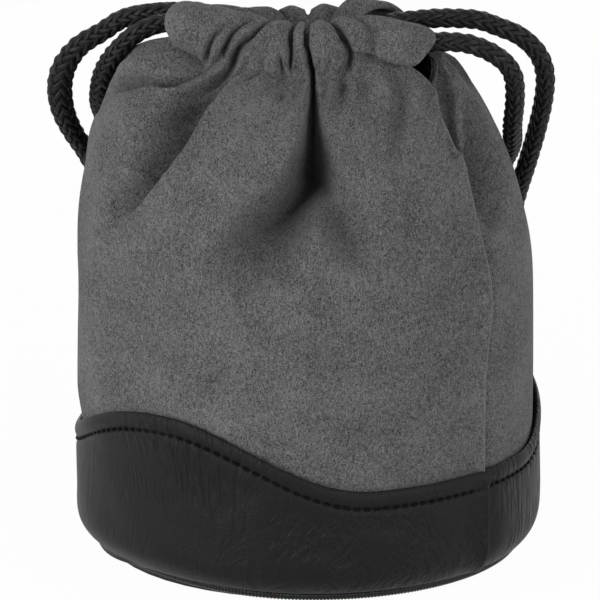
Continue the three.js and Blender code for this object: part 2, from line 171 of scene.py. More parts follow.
# Suede panels
# A front and a back panel of soft grey suede, sewn together up the sides. Their tops are folded over
# into a casing for the cords, which has drawn them into pleats and turned the mouth a little.
WALL_RADIUS = 48.5
WALL_FOOT = 3.2
FOOT_TUCK = 4.4
FOOT_ROUND = 9
ROUND_TOP = 10.2
STITCH_HEIGHT = 107.6
TWIST = 30
TWIST_START = 60
NECK_WIDTH = 28
NECK_DEPTH = 15
NECK_SQUARENESS = 4
ROLL_RADIUS = 4.8
CASING_CLOTH = 27
CASING_BULGE = 0.9
CLOTH_TOP = STITCH_HEIGHT + CASING_CLOTH
SUEDE_THICKNESS = 1.4
PANEL_COLUMNS = 290
PANEL_ROWS = 160
PLAIN_ROWS = 0.18
PLAIN_TOP = 60

# The wall leans in from the shoulder to the neck. On its left side it is fuller, bulges and stands higher.
SHOULDER = 45
LEFT_SHOULDER = 20
FULLNESS = 2.7
LEFT_FULLNESS = 1.3
ROUNDNESS = 0.8
LEFT_ROUNDNESS = 0.2
LEFT_BULGE = 1.1
LEFT_BULGE_FOOT = (27, 34)
LEFT_BULGE_TOP = (86, 64)
LEFT_LIFT = 4.5
LEFT_LIFT_START = 96
FOOT_LIFT = 1.4
FOOT_LIFT_ANGLE = -140
FOOT_LIFT_REACH = 30
FOOT_LIFT_FADE = (16, 4)

# Folds, their lips, the loose waves between them and the gathers under the casing.
FOLD_STEPS = 40
FOLD_MARGIN = 2
LEAST_REACH = 0.1
LIP_WIDTH = 9
LIP_FADE = 3
# The fold depth at which the suede's colour is painted darkest, as painted shade in the folds.
PAINTED_SHADE_DEPTH = 9
WAVE_HEIGHT = 0.35
WAVE_TURNS = 8.5
WAVE_RISE = 9
SWELL_RISE = 13
SWELL_DEGREES = 31
RIPPLE_HEIGHT = 0.2
RIPPLE_TURNS = 17
RIPPLE_RISE = 6.5
CALM_SHARE = 0.25
CALM_FOOT = 40
CALM_RANGE = 30
CALM_TOP = 6
GATHER_HEIGHT = 0.7
GATHER_TURNS = 31
GATHER_DRIFT = 2
DRIFT_TURNS = 7
GATHER_MIDDLE = 106
GATHER_REACH = 5.5
ANGLE_STEP = 0.2
CLOTH_STEP = 0.1
SMOOTHING = {"factor": 0.4, "use_axis_x": True, "use_axis_y": True, "use_axis_z": True}
SEWN_REACH = 2
SEWN_ROUNDS = 6
# The width and top of a painted highlight along the panels' seam edges, partly the cut edge's own lighter
# tone.
EDGE_HIGHLIGHT_WIDTH = 0.45
EDGE_HIGHLIGHT_TOP = 100

# How the panels' edges stand out or dip: by how much, where past the seam in degrees, and between
# which heights along the cloth this comes and goes.
FRONT_PROUD = {"by": 1.05, "past": (-0.6, 1.5), "fade": (96, 90)}
BACK_UNDER = {"by": 1.2, "past": (1, 1.6), "fade": (92, 88)}
SLIT_RIDGE = {"by": 0.9, "past": (0.4, 1.1), "start": (90, 93), "fade": (106, 102)}
SLIT_DIP = {"by": 3.2, "past": (-0.2, -2), "start": (88, 91)}

# The side seam and the panels' edges, as lists of (height along the cloth, angle round the pouch).
SEAM_LINE = [
    (0, -40), (44, -40), (53, -38.6), (60, -36.6), (66, -36.6), (76, -37.4), (84, -38), (90, -39.2),
    (92, -40),
]
FRONT_LEFT_EDGE = [(0, -220), (93, -220), (102, -213), (110, -208), (135, -208)]
FRONT_RIGHT_EDGE = SEAM_LINE + [
    (93.5, -42), (97.5, -45), (100.5, -48), (105.5, -52), (106.8, -53.5), (108.2, -58), (109.2, -63),
    (110.2, -61.5), (112.6, -56.5), (114.4, -51), (116, -48.4), (117.6, -49), (119.6, -52), (122, -56),
    (135, -59),
]
BACK_RIGHT_EDGE = SEAM_LINE + [
    (93.5, -45), (97, -49), (101, -52), (104.4, -54), (105.8, -53), (106.6, -49), (107.4, -42),
    (107.9, -32), (108.3, -18), (108.7, -6), (109.3, 1), (110.4, 3.5), (135, 3.5),
]
BACK_LEFT_EDGE = [(0, 140), (93, 140), (102, 129), (110, 122), (135, 122)]

# The height of the casing's top, by angle round the pouch.
CASING_TOPS = [
    (-220, 119), (-208, 120.4), (-190, 121.8), (-177, 120.8), (-162, 119), (-148, 118.9), (-135, 117.9),
    (-127, 118.7), (-120, 117.8), (-106, 119), (-93, 118.2), (-84, 119.8), (-75, 119), (-66, 120),
    (-48, 117.8), (-30, 117), (0, 115), (8, 117.2), (18, 118.2), (28, 115.4), (45, 116.4), (60, 115),
    (76, 116), (88, 115), (97, 115.8), (107, 115.6), (122, 116.6), (140, 118),
]

# Folds and creases: how sharp the fold is, how far its right lip slides over it (sideways, up) from
# which depth on, and its points. A point is the angle, the height along the cloth, the depth, and
# the fold's reach to its left and to its right.
FRONT_FOLDS = {
    "deep_pocket": (0.8, (-4, 0, 5), [
        (-78, 76, 0, 10, 9), (-80, 80.4, 1.3, 14, 9), (-82.2, 84.6, 3, 17, 8),
        (-84.6, 88.6, 5.2, 19, 6.5), (-87.4, 92.6, 8.8, 20, 4.6), (-90.6, 96, 13, 18.5, 3),
        (-95, 98.8, 16, 15, 2.2), (-100, 101.2, 15.5, 10, 2), (-104, 103, 12.5, 6, 1.9),
        (-108.5, 105, 9, 3.6, 1.8), (-112.5, 106.8, 6.5, 2.6, 1.8), (-117, 109.6, 4, 2.4, 1.8),
        (-119.5, 113, 0, 3, 2),
    ]),
    "soft_sweep": (1, (0, 0), [
        (-114, 69, 0, 8, 13), (-111.5, 73.5, 3, 9, 15), (-108, 78, 6, 10, 16),
        (-103.5, 82.6, 7.8, 11, 16), (-99.5, 87, 7, 11, 12), (-97, 92, 3.6, 9, 8), (-97, 97, 0, 6, 6),
    ]),
    "pleat_above_valley": (1.4, (0, 0), [
        (-113, 106, 0, 2.2, 2), (-116.5, 108.6, 3.4, 2.4, 2), (-118.5, 111.5, 3.8, 2.6, 2),
        (-120.5, 115, 3.6, 2.8, 2.2), (-120.5, 119, 3, 2.8, 2.2), (-120, 123, 1.6, 3, 2.6),
        (-120, 128, 0, 3, 3),
    ]),
    "pleat_left_of_centre": (1.4, (0, 0), [
        (-133.5, 107.6, 0, 2.4, 2.4), (-133.5, 110, 2.8, 2.6, 2.4), (-132.5, 112, 3.2, 2.6, 2.4),
        (-133.5, 114.8, 3, 2.4, 2.2), (-135, 117.4, 2.8, 2.4, 2.2), (-135, 120.5, 2.2, 2.6, 2.4),
        (-135, 126, 0, 3, 3),
    ]),
    "low_crease": (1.6, (0, 0), [
        (-126.5, 104.5, 0, 2, 2), (-128, 105.5, 1.4, 2, 2), (-133, 106.5, 2, 2, 2),
        (-139, 107.8, 1.8, 2, 2), (-140.5, 110.8, 1, 2, 2), (-140.5, 112.5, 0, 2, 2),
    ]),
    "curled_pleat": (1.2, (0, 0), [
        (-97, 104.5, 0, 4, 3), (-96, 106.4, 0.8, 4, 3), (-92, 108.2, 2.6, 4, 2.4),
        (-89.2, 110.8, 3.8, 4, 2.2), (-90.5, 113.2, 3.8, 4, 2.2), (-92, 115.4, 3.2, 3.5, 2.2),
        (-93, 119, 2.8, 3.5, 2.2), (-93, 126, 0, 3, 3),
    ]),
    "pleat_by_the_slit": (1.6, (0, 0), [
        (-77.5, 109.5, 0, 3, 2.6), (-78, 112, 0.9, 3.6, 3), (-78.4, 113.6, 1.3, 3.8, 3),
        (-78, 116, 1.4, 3.8, 3), (-74.5, 119.4, 1, 3.6, 3), (-73, 123.5, 0, 3, 3),
    ]),
    "slanting_pleat": (1, (0, 0), [
        (-178, 104.8, 0, 1.5, 1.5), (-175, 107, 2.2, 1.5, 1.6), (-172.8, 108.8, 3, 1.5, 1.8),
        (-168.8, 112.4, 3, 1.5, 1.8), (-167.5, 116, 2.2, 1.6, 1.8), (-166.5, 122, 0, 2, 2),
    ]),
    "second_slanting_pleat": (1, (0, 0), [
        (-182, 106.4, 0, 1.4, 1.4), (-179, 109, 1.8, 1.4, 1.6), (-175.5, 112, 2.2, 1.4, 1.6),
        (-172.5, 115.6, 1.6, 1.4, 1.6), (-171, 119.5, 0, 2, 2),
    ]),
    "sharp_ridge": (0.9, (-2.6, 1.4, 3.3), [
        (-152, 78.5, 0, 9, 5), (-148, 81.5, 3, 10, 3.4), (-142.2, 84.6, 5, 12, 2.6),
        (-139, 87.5, 6.5, 14, 2.2), (-138.7, 93, 7.8, 14.5, 2), (-144.7, 98.3, 8, 13, 2),
        (-151.5, 101.8, 7.4, 10.5, 2), (-159, 104.4, 6.2, 7.5, 2), (-164.5, 106.2, 5, 4.4, 2),
        (-166, 108.8, 4, 2.6, 2), (-161.6, 113.6, 3.4, 2.2, 2), (-158, 117, 2.6, 2.2, 2),
        (-157, 123, 0, 3, 3),
    ]),
    "lip_of_the_ridge": (1, (0, 0), [
        (-139, 80, 0, 8, 12), (-133, 88, -1.5, 6, 14), (-137, 97, -2, 5, 14), (-149, 103.5, -1.5, 4, 10),
        (-160, 107.5, 0, 3, 5),
    ]),
    "level_fold": (1, (0, 1.5, 2.5), [
        (-198, 93, 0, 7, 3), (-191, 97.5, 3, 6, 2.2), (-188.5, 100, 5, 5, 2),
        (-184.5, 101.8, 6.2, 4.4, 2), (-179.5, 103, 6.4, 4, 2), (-175.5, 104.5, 5, 3.4, 2),
        (-169, 106, 0, 3, 2),
    ]),
    "puff_above_level_fold": (1, (0, 0), [
        (-202, 101, 0, 5, 4), (-194, 103.4, -2, 5, 4), (-187, 105, -2.6, 4, 3.4),
        (-180, 106.2, -1.8, 3, 3), (-174, 107, 0, 3, 3),
    ]),
    "under_left_lobe": (1, (0, -2.4, 1.5), [
        (-173, 107, 0, 2, 2), (-178, 107.6, 3.6, 3, 1.8), (-182.5, 108.4, 4.8, 3.6, 1.8),
        (-187.5, 109, 4.6, 3.6, 1.8), (-194, 109.8, 3, 3, 1.8), (-200, 110.4, 0, 2.5, 2),
    ]),
    "left_lobe": (1, (0, 0), [
        (-204, 115.5, 0, 5, 5), (-195, 115.2, -2.4, 6, 5.5), (-186, 114.6, -2.6, 6, 5),
        (-178, 113.6, 0, 4, 4),
    ]),
    "faint_valley": (1, (0, 0), [
        (-74, 72, 0, 7, 7), (-75.5, 77, 2.8, 8, 8), (-78.5, 82, 3.4, 8, 8), (-82, 86.5, 2, 7, 7),
        (-85, 90, 0, 5, 5),
    ]),
    "soft_valley_right": (1, (0, 0), [
        (-65, 89, 0, 6, 6), (-65, 99, 1.2, 5, 5), (-67, 106, 1.5, 4, 4), (-69, 109, 1, 3, 3),
        (-69, 111, 0, 3, 3),
    ]),
    "under_right_lobe": (1, (0, -2, 0.6), [
        (-58, 109, 2, 3, 1.5), (-64, 109.6, 3, 4, 1.5), (-71, 110.8, 3, 4.5, 1.5),
        (-78, 112, 2.6, 4.5, 1.5), (-83.5, 112.8, 2.2, 4.5, 1.5), (-88, 112.8, 1.4, 4, 1.5),
        (-91, 112.6, 0, 3, 1.5),
    ]),
}
BACK_FOLDS = {
    "valley_far_right": (1, (0, 0), [
        (8, 76, 0, 10, 10), (6, 86, 2, 9, 8), (3, 96, 3.6, 7, 6), (0, 105, 3.6, 3.5, 3),
        (-1, 112, 2.6, 3, 2.6), (-1, 116, 1.6, 3, 3), (-1, 121, 0, 3, 3),
    ]),
    "valley_right": (1, (0, 0), [
        (38, 68, 0, 12, 12), (36, 78, 2.5, 12, 10), (33, 88, 5, 10, 8), (29, 98, 6, 7, 5),
        (25, 106, 4.5, 3.5, 3), (24, 112, 3, 3, 2.6), (24, 116, 1.6, 3, 3), (24, 121, 0, 3, 3),
    ]),
    "valley_middle": (1, (0, 0), [
        (72, 60, 0, 14, 14), (71, 72, 3, 14, 12), (69, 84, 6, 12, 9), (65, 96, 7, 8, 6),
        (61.5, 105, 5, 4, 3.4), (60, 112, 3, 3, 2.8), (60, 116, 1.4, 3, 3), (60, 121, 0, 3, 3),
    ]),
    "valley_left": (1, (0, 0), [
        (94, 70, 0, 12, 12), (94, 80, 2.2, 12, 10), (93, 90, 4.5, 9, 8), (91, 100, 5, 6, 5),
        (89, 107, 4, 3.4, 3), (88, 112, 2.8, 3, 2.6), (88, 116, 1.4, 3, 3), (88, 121, 0, 3, 3),
    ]),
    "valley_far_left": (1, (0, 0), [
        (119, 78, 0, 9, 9), (118, 88, 1.8, 8, 8), (115, 98, 2.8, 6, 6), (113, 106, 2.6, 3.4, 3),
        (112, 113, 2, 3, 2.6), (112, 120, 0, 3, 3),
    ]),
    "hollow_by_the_seam": (1, (0, 0), [
        (-31, 76, 0, 6, 9), (-30, 80, 4, 6.5, 13), (-30, 86, 6.5, 7, 16), (-31.5, 92, 6.5, 7, 16),
        (-34, 98, 4.5, 6, 12), (-37, 103, 0, 4, 6),
    ]),
    "short_crease": (1.6, (0, 0), [(-34, 76.5, 0, 2, 2), (-29, 77.5, 1.2, 2.5, 2), (-22, 79, 0, 2, 2)]),
}


def ramp(value, start, end):
    """Nought up to the start and one from the end on, with a straight climb between them."""
    return np.clip((value - start) / (end - start), 0, 1)


def bell(value, middle, reach):
    """One in the middle, falling softly to nought on both sides."""
    return np.exp(-(((value - middle) / reach) ** 2))


def eased(share):
    """The same share from nought to one, with a soft start and a soft end."""
    return share**2 * (3 - 2 * share)


def curve_through(knots, leaving, arriving, count):
    """Points along a smooth curve through the knots, with the ways it leaves and reaches them."""
    share = np.linspace(0, 1, count, endpoint=False)[:, None]
    runs = []
    for start, end, away, onto in zip(knots, knots[1:], leaving, arriving):
        runs.append(
            start * (2 * share**3 - 3 * share**2 + 1)
            + away * (share**3 - 2 * share**2 + share)
            + end * (3 * share**2 - 2 * share**3)
            + onto * (share**3 - share**2)
        )
    return np.vstack(runs)


def chords(knots):
    """At each knot, the step from the one before it to the one after it."""
    before = np.vstack([2 * knots[0] - knots[1], knots[:-1]])
    after = np.vstack([knots[1:], 2 * knots[-1] - knots[-2]])
    return after - before


def neck_radius(turned, inset):
    """How far the gathered neck reaches, in mm, towards an angle in radians, less an inset."""
    wide = np.abs(np.cos(turned)) / (NECK_WIDTH - inset)
    deep = np.abs(np.sin(turned)) / (NECK_DEPTH - inset)
    return (wide**NECK_SQUARENESS + deep**NECK_SQUARENESS) ** (-1 / NECK_SQUARENESS)


def cloth_surface(angle, cloth, outset=0.0):
    """Where the smooth cloth lies, in mm, for an angle in degrees and a height along the cloth."""
    height = np.minimum(cloth, STITCH_HEIGHT)
    turned = np.radians(angle + TWIST * ramp(height, TWIST_START, STITCH_HEIGHT) ** 4)
    leftward = ((1 - np.cos(turned)) / 2) ** 2
    rise = ramp(height, SHOULDER + LEFT_SHOULDER * leftward, STITCH_HEIGHT)
    fullness = FULLNESS + LEFT_FULLNESS * leftward
    roundness = ROUNDNESS - LEFT_ROUNDNESS * leftward
    foot = np.clip((ROUND_TOP - height) / FOOT_ROUND, 0, 1)
    foot_lift = FOOT_LIFT * bell(angle, FOOT_LIFT_ANGLE, FOOT_LIFT_REACH) * ramp(height, *FOOT_LIFT_FADE)
    lift = LEFT_LIFT * leftward**3
    lifted = ramp(height, LEFT_LIFT_START, STITCH_HEIGHT)

    past = np.clip(cloth - STITCH_HEIGHT, 0, CASING_CLOTH)
    casing_angles, casing_heights = np.array(CASING_TOPS).T
    before = np.clip(np.searchsorted(casing_angles, angle) - 1, 0, len(casing_angles) - 2)
    between = eased(ramp(angle, casing_angles[before], casing_angles[before + 1]))
    top = casing_heights[before] + (casing_heights[before + 1] - casing_heights[before]) * between
    straight = np.maximum(top - ROLL_RADIUS - STITCH_HEIGHT - lift, 1)
    rolled = straight + math.pi * ROLL_RADIUS
    climbing = np.clip(past / straight, 0, 1)
    rolling = np.clip((past - straight) / ROLL_RADIUS, 0, math.pi)
    falling = ramp(past, rolled, CASING_CLOTH)
    inset = ROLL_RADIUS * (1 - np.cos(rolling)) - CASING_BULGE * np.sin(climbing * math.pi / 2)
    height = height + foot_lift + lift * eased(lifted)
    height = height + straight * climbing + ROLL_RADIUS * np.sin(rolling) - straight * falling

    neck = neck_radius(turned, inset)
    radius = neck + (WALL_RADIUS - neck) * (1 - rise**fullness) ** roundness - FOOT_TUCK * foot**3 + outset
    radius = radius + LEFT_BULGE * leftward * ramp(height, *LEFT_BULGE_FOOT) * ramp(height, *LEFT_BULGE_TOP)
    return np.stack([radius * np.cos(turned), radius * np.sin(turned), height], axis=-1)


def fold_shape(folds, angle, cloth):
    """How far the folds bring each point of a panel in, and slide it along and up the cloth, in mm."""
    depth = np.zeros_like(angle)
    slide = np.zeros((len(angle), 2))
    place = np.stack([np.radians(angle) * WALL_RADIUS, cloth], axis=-1)
    for sharpness, overhang, points in folds.values():
        knots = np.array(points, float)
        knots[:, 0] = np.radians(knots[:, 0]) * WALL_RADIUS
        tangents = chords(knots) / 2
        line = curve_through(knots, tangents, tangents[1:], FOLD_STEPS)
        heading = np.gradient(line[:, :2], axis=0)
        reach = knots[:, 3:].max() + LIP_WIDTH * any(overhang) + FOLD_MARGIN
        near = np.all(place > line[:, :2].min(axis=0) - reach, axis=-1)
        near &= np.all(place < line[:, :2].max(axis=0) + reach, axis=-1)
        offset = place[near][:, None, :] - line[None, :, :2]
        distance = np.hypot(offset[..., 0], offset[..., 1])
        closest = distance.argmin(axis=1)
        row = np.arange(len(closest))
        side = heading[closest, 0] * offset[row, closest, 1] - heading[closest, 1] * offset[row, closest, 0]
        width = np.maximum(np.where(side > 0, line[closest, 3], line[closest, 4]), LEAST_REACH)
        share = np.clip(distance[row, closest] / width, 0, 1)
        slope = (0.5 + 0.5 * np.cos(math.pi * share)) ** sharpness
        if any(overhang):
            deep = np.clip((line[closest, 2] - overhang[2]) / LIP_FADE, 0, 1)
            slope = np.where(side > 0, slope, slope + (1 - share - slope) * deep)
            beyond = np.clip((distance[row, closest] - width) / LIP_WIDTH, 0, 1)
            lean = deep * (side <= 0) * share * (1 - beyond) ** 2
            slide[near] += lean[:, None] * overhang[:2]
        depth[near] += line[closest, 2] * slope
    return depth, slide


def folded_cloth(angle, cloth, folds, tuck):
    """Where the folded cloth lies, in mm, and the way it faces."""
    around = np.radians(angle)
    waves = WAVE_HEIGHT * np.sin(around * WAVE_TURNS + cloth / WAVE_RISE)
    waves *= np.sin(cloth / SWELL_RISE + angle / SWELL_DEGREES)
    waves += RIPPLE_HEIGHT * np.sin(around * RIPPLE_TURNS - cloth / RIPPLE_RISE)
    waves *= np.clip((cloth - CALM_FOOT) / CALM_RANGE, CALM_SHARE, 1)
    waves *= np.clip((STITCH_HEIGHT - cloth) / CALM_TOP, 0, 1)
    gathers = np.sin(around * GATHER_TURNS + GATHER_DRIFT * np.sin(around * DRIFT_TURNS))
    waves += GATHER_HEIGHT * gathers * bell(cloth, GATHER_MIDDLE, GATHER_REACH)
    inward, slide = fold_shape(folds, angle, cloth)
    inward = inward + waves + tuck(angle, cloth)
    angle = angle + np.degrees(slide[:, 0] / WALL_RADIUS)
    cloth = cloth + slide[:, 1]
    across = cloth_surface(angle + ANGLE_STEP, cloth) - cloth_surface(angle - ANGLE_STEP, cloth)
    upward = cloth_surface(angle, cloth + CLOTH_STEP) - cloth_surface(angle, cloth - CLOTH_STEP)
    out = np.cross(across, upward)
    out /= np.linalg.norm(out, axis=1)[:, None]
    return cloth_surface(angle, cloth) - out * inward[:, None], out


def give_thickness(piece, thickness):
    """Thickens a sheet inwards, by a thickness in mm."""
    thicken = piece.modifiers.new("thickness", "SOLIDIFY")
    thicken.thickness = thickness * MM
    thicken.offset = -1


def suede_panel(name, left_edge, right_edge, folds, tuck):
    """One panel of cloth as a grid of quads, folded and given its thickness."""
    shape = bmesh.new()
    bmesh.ops.create_grid(shape, x_segments=PANEL_COLUMNS, y_segments=PANEL_ROWS, size=0.5)
    flat = np.array([v.co for v in shape.verts])
    cloth = np.interp(flat[:, 1] + 0.5, (0, PLAIN_ROWS, 1), (WALL_FOOT, PLAIN_TOP, CLOTH_TOP))
    left, right = (np.interp(cloth, *np.array(edge, float).T) for edge in (left_edge, right_edge))
    angle = left + (right - left) * (flat[:, 0] + 0.5)

    placed, _ = folded_cloth(angle, cloth, folds, tuck)
    for vert, spot in zip(shape.verts, placed * MM):
        vert.co = spot
    bmesh.ops.smooth_vert(shape, verts=shape.verts, **SMOOTHING)
    sewn = [vert for vert, spot in zip(shape.verts, cloth) if abs(spot - STITCH_HEIGHT) < SEWN_REACH]
    for _ in range(SEWN_ROUNDS):
        bmesh.ops.smooth_vert(shape, verts=sewn, **SMOOTHING)
    # A narrow strip along the panel's right edge, below a height, is painted lighter: a painted highlight
    # on the raised seam edge, partly the cut edge's own lighter tone.
    raw_edge_and_highlight = shape.verts.layers.float.new("raw_edge_and_highlight")
    for vert, share in zip(shape.verts, bell(angle, right, EDGE_HIGHLIGHT_WIDTH) * (cloth < EDGE_HIGHLIGHT_TOP)):
        vert[raw_edge_and_highlight] = share
    # The colour is painted darker where the folds are deep: painted shade in the folds.
    painted_fold_shade = shape.verts.layers.float.new("painted_fold_shade")
    for vert, depth in zip(shape.verts, fold_shape(folds, angle, cloth)[0]):
        vert[painted_fold_shade] = min(max(depth / PAINTED_SHADE_DEPTH, 0), 1)
    panel = new_piece(name, shape)
    give_thickness(panel, SUEDE_THICKNESS)
    return panel


def from_seam(angle, cloth):
    """How far an angle lies past the side seam, in degrees."""
    return angle - np.interp(cloth, *np.array(SEAM_LINE).T)


def front_tuck(angle, cloth):
    """The front panel's edge stands a little proud where it is sewn to the back panel."""
    seam = bell(from_seam(angle, cloth), *FRONT_PROUD["past"]) * ramp(cloth, *FRONT_PROUD["fade"])
    return -FRONT_PROUD["by"] * seam


def back_tuck(angle, cloth):
    """The back panel runs under the front panel's edge, and beside the slit it dips out of sight."""
    past = from_seam(angle, cloth)
    seam = bell(past, *BACK_UNDER["past"]) * ramp(cloth, *BACK_UNDER["fade"])
    ridge = bell(past, *SLIT_RIDGE["past"]) * ramp(cloth, *SLIT_RIDGE["start"])
    ridge *= ramp(cloth, *SLIT_RIDGE["fade"])
    strip = ramp(past, *SLIT_DIP["past"]) * ramp(cloth, *SLIT_DIP["start"])
    return BACK_UNDER["by"] * seam - SLIT_RIDGE["by"] * ridge + SLIT_DIP["by"] * strip


suede_front = suede_panel("suede_front", FRONT_LEFT_EDGE, FRONT_RIGHT_EDGE, FRONT_FOLDS, front_tuck)
suede_back = suede_panel("suede_back", BACK_RIGHT_EDGE, BACK_LEFT_EDGE, BACK_FOLDS, back_tuck)


def new_group(name, vectors, numbers, results):
    """An empty shader group, the values that come into it and the sockets that take its results."""
    group = bpy.data.node_groups.new(name, "ShaderNodeTree")
    for socket in vectors:
        group.interface.new_socket(socket, in_out="INPUT", socket_type="NodeSocketVector")
    for socket in numbers:
        group.interface.new_socket(socket, in_out="INPUT", socket_type="NodeSocketFloat")
    for socket in results:
        group.interface.new_socket(socket, in_out="OUTPUT", socket_type="NodeSocketFloat")
    return group, group.nodes.new("NodeGroupInput").outputs, group.nodes.new("NodeGroupOutput").inputs


def new_material(name, finish):
    """A material with one principled surface of a given finish, its node tree and the surface's inputs."""
    material = bpy.data.materials.new(name)
    material.use_nodes = True
    skin = material.node_tree.nodes["Principled BSDF"].inputs
    for value_name, value in finish.items():
        skin[value_name].default_value = value
    return material, material.node_tree, skin


def mixed_colour(tree, share, first, second, blend="MIX"):
    """The result of mixing two colours by a share."""
    mix = add_node(tree, "Mix", {"Factor": share, "A": first, "B": second}, data_type="RGBA")
    mix.blend_type = blend
    return mix.outputs["Result"]


def add_bump(tree, skin, height, depth, strength=0.5):
    """Makes a surface look raised by a height, which is given a depth in mm."""
    bump = add_node(tree, "Bump", {"Height": height, "Strength": strength, "Distance": depth * MM})
    tree.links.new(bump.outputs["Normal"], skin["Normal"])


def noise(tree, place, scale, **values):
    """Cloudy noise at a place, with so many clouds to a unit of length."""
    values = {"Vector": place, "Scale": scale, **values}
    return add_node(tree, "TexNoise", values).outputs[0]


def spread(tree, value, limits, shift=None, smooth=False):
    """A value between two limits brought to nought and one, or to another pair of values."""
    start, end = shift or (0, 1)
    values = {"Value": value, "From Min": limits[0], "From Max": limits[1], "To Min": start, "To Max": end}
    node = add_node(tree, "MapRange", values)
    if smooth:
        node.interpolation_type = "SMOOTHSTEP"
    return node.outputs["Result"]


def blended(tree, share, first, second):
    """The result of mixing two numbers by a share."""
    return add_node(tree, "Mix", {"Factor": share, "A": first, "B": second}).outputs["Result"]


NAP_LEAN = (math.radians(20), math.radians(24), 0)
NAP_STREAK = (1.8, 1.8, 0.8)
NAP_PATCHES = 0.05
STREAK_SHARE = 0.45
PATCH_SHARE = 0.12
NAP_LIMITS = (0.415, 0.585)

nap, nap_in, nap_out = new_group("nap", ["Vector"], ["Fibres"], ["Shade", "Height"])
nap_place, nap_fibres = nap_in["Vector"], nap_in["Fibres"]
nap_speckle = noise(nap, nap_place, nap_fibres, Detail=2, Roughness=0.6, Distortion=2.4)
nap_lay = add_node(nap, "Mapping", {"Vector": nap_place, "Rotation": NAP_LEAN, "Scale": NAP_STREAK})
nap_streak = noise(nap, nap_lay.outputs["Vector"], nap_fibres, Detail=3, Distortion=1.5)
nap_patch = noise(nap, nap_place, reckon(nap, "MULTIPLY", nap_fibres, NAP_PATCHES), Detail=3)
nap_fine = blended(nap, STREAK_SHARE, nap_speckle, nap_streak)
nap_shade = spread(nap, blended(nap, PATCH_SHARE, nap_fine, nap_patch), NAP_LIMITS)
nap.links.new(nap_shade, nap_out["Shade"])
nap.links.new(nap_fine, nap_out["Height"])


def napped_material(name, dark, light, fibres, finish, depth=0):
    """A dull material of two tones with a fine nap, which is raised if it has a depth in mm."""
    material, tree, skin = new_material(name, finish)
    place = add_node(tree, "TexCoord").outputs["Object"]
    fuzz = add_node(tree, "Group", {"Fibres": fibres, "Vector": place}, group=nap).outputs
    tree.links.new(mixed_colour(tree, fuzz["Shade"], dark, light), skin["Base Color"])
    if depth:
        add_bump(tree, skin, fuzz["Height"], depth)
    return material


SUEDE_DARK = (0.03, 0.03, 0.0305, 1)
SUEDE_LIGHT = (0.18, 0.18, 0.181, 1)
# The lighter colour of the seam edge is a painted highlight, partly the cut edge's own tone.
SUEDE_EDGE_HIGHLIGHT = (0.2, 0.2, 0.2, 1)
# Painted shade: the suede's colour is multiplied by this in the deepest folds.
SUEDE_PAINTED_SHADE = (0.42, 0.42, 0.42, 1)
SUEDE_FIBRES = 1800
SUEDE_STRETCH = (1, 0.5, 1)
SUEDE_NAP_DEPTH = 0.5
SUEDE_FINISH = {
    "Roughness": 0.95, "Specular IOR Level": 0.08, "Sheen Weight": 0.12, "Sheen Roughness": 0.5,
}

suede, suede_tree, suede_skin = new_material("suede", SUEDE_FINISH)
suede_place = add_node(suede_tree, "TexCoord").outputs["Object"]
suede_lay = add_node(suede_tree, "Mapping", {"Vector": suede_place, "Scale": SUEDE_STRETCH})
suede_nap = add_node(
    suede_tree, "Group", {"Fibres": SUEDE_FIBRES, "Vector": suede_lay.outputs["Vector"]}, group=nap
).outputs
suede_painted_shade = add_node(suede_tree, "Attribute")
suede_painted_shade.attribute_name = "painted_fold_shade"
suede_edge_highlight = add_node(suede_tree, "Attribute")
suede_edge_highlight.attribute_name = "raw_edge_and_highlight"
suede_colour = mixed_colour(suede_tree, suede_nap["Shade"], SUEDE_DARK, SUEDE_LIGHT)
# Painted shade: the colour is darkened in the folds, by their depth.
suede_colour = mixed_colour(suede_tree, suede_painted_shade.outputs["Fac"], suede_colour, SUEDE_PAINTED_SHADE, "MULTIPLY")
# Painted highlight: a lighter strip along the raised seam edge, partly the cut edge's own tone.
suede_colour = mixed_colour(suede_tree, suede_edge_highlight.outputs["Fac"], suede_colour, SUEDE_EDGE_HIGHLIGHT)
suede_tree.links.new(suede_colour, suede_skin["Base Color"])
add_bump(suede_tree, suede_skin, suede_nap["Height"], SUEDE_NAP_DEPTH, strength=0.8)

for panel, node in ((suede_front, "suede_front_panel"), (suede_back, "suede_back_panel")):
    panel.data.materials.append(suede)
    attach(panel, "pouch")
    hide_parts(node)

# Leather bands
# A strip of soft black leather covers the foot of each panel. Its top edge runs in a wave,
# sewn down with a line of dark stitches, and the front strip's end laps over at the side seam.
BAND_OUTSET = 1.5
BAND_THICKNESS = 1.2
BAND_FOOT = 2.3
LEFT_DROP = 2.2
LEFT_DROP_ANGLE = -160
LEFT_DROP_REACH = 26
WAVE_LOW = 25.4
WAVE_CREST = 39.8
FRONT_CREST_ANGLE = -128
FRONT_CREST_REACHES = (63, 55)
BACK_CREST_ANGLE = 42
BACK_CREST_REACH = 66
STITCH_INSET = 4
EDGE_ROLL = 0.45
EDGE_ROLL_WIDTH = 1.1
STITCH_DENT = 0.4
STITCH_DENT_WIDTH = 0.7
EDGE_PUFF = 0.25
EDGE_PUFF_PLACE = (1.9, 1.1)
HIDE_SLACK = 0.22
SLACK_TURNS = 11
SLACK_RISES = (8, 11)
SLACK_START = (5, 13)
FRONT_BAND_ENDS = (-220, -40.6)
BACK_BAND_ENDS = (-39.9, 139.6)
FRONT_LAP = 1.1
FRONT_LAP_ANGLES = (-46, -41)
BACK_LAP = 0.45
BACK_LAP_ANGLES = (-33, -38)
BAND_COLUMNS = 420
BAND_ROWS = 64
ROW_CROWDING = 1.25


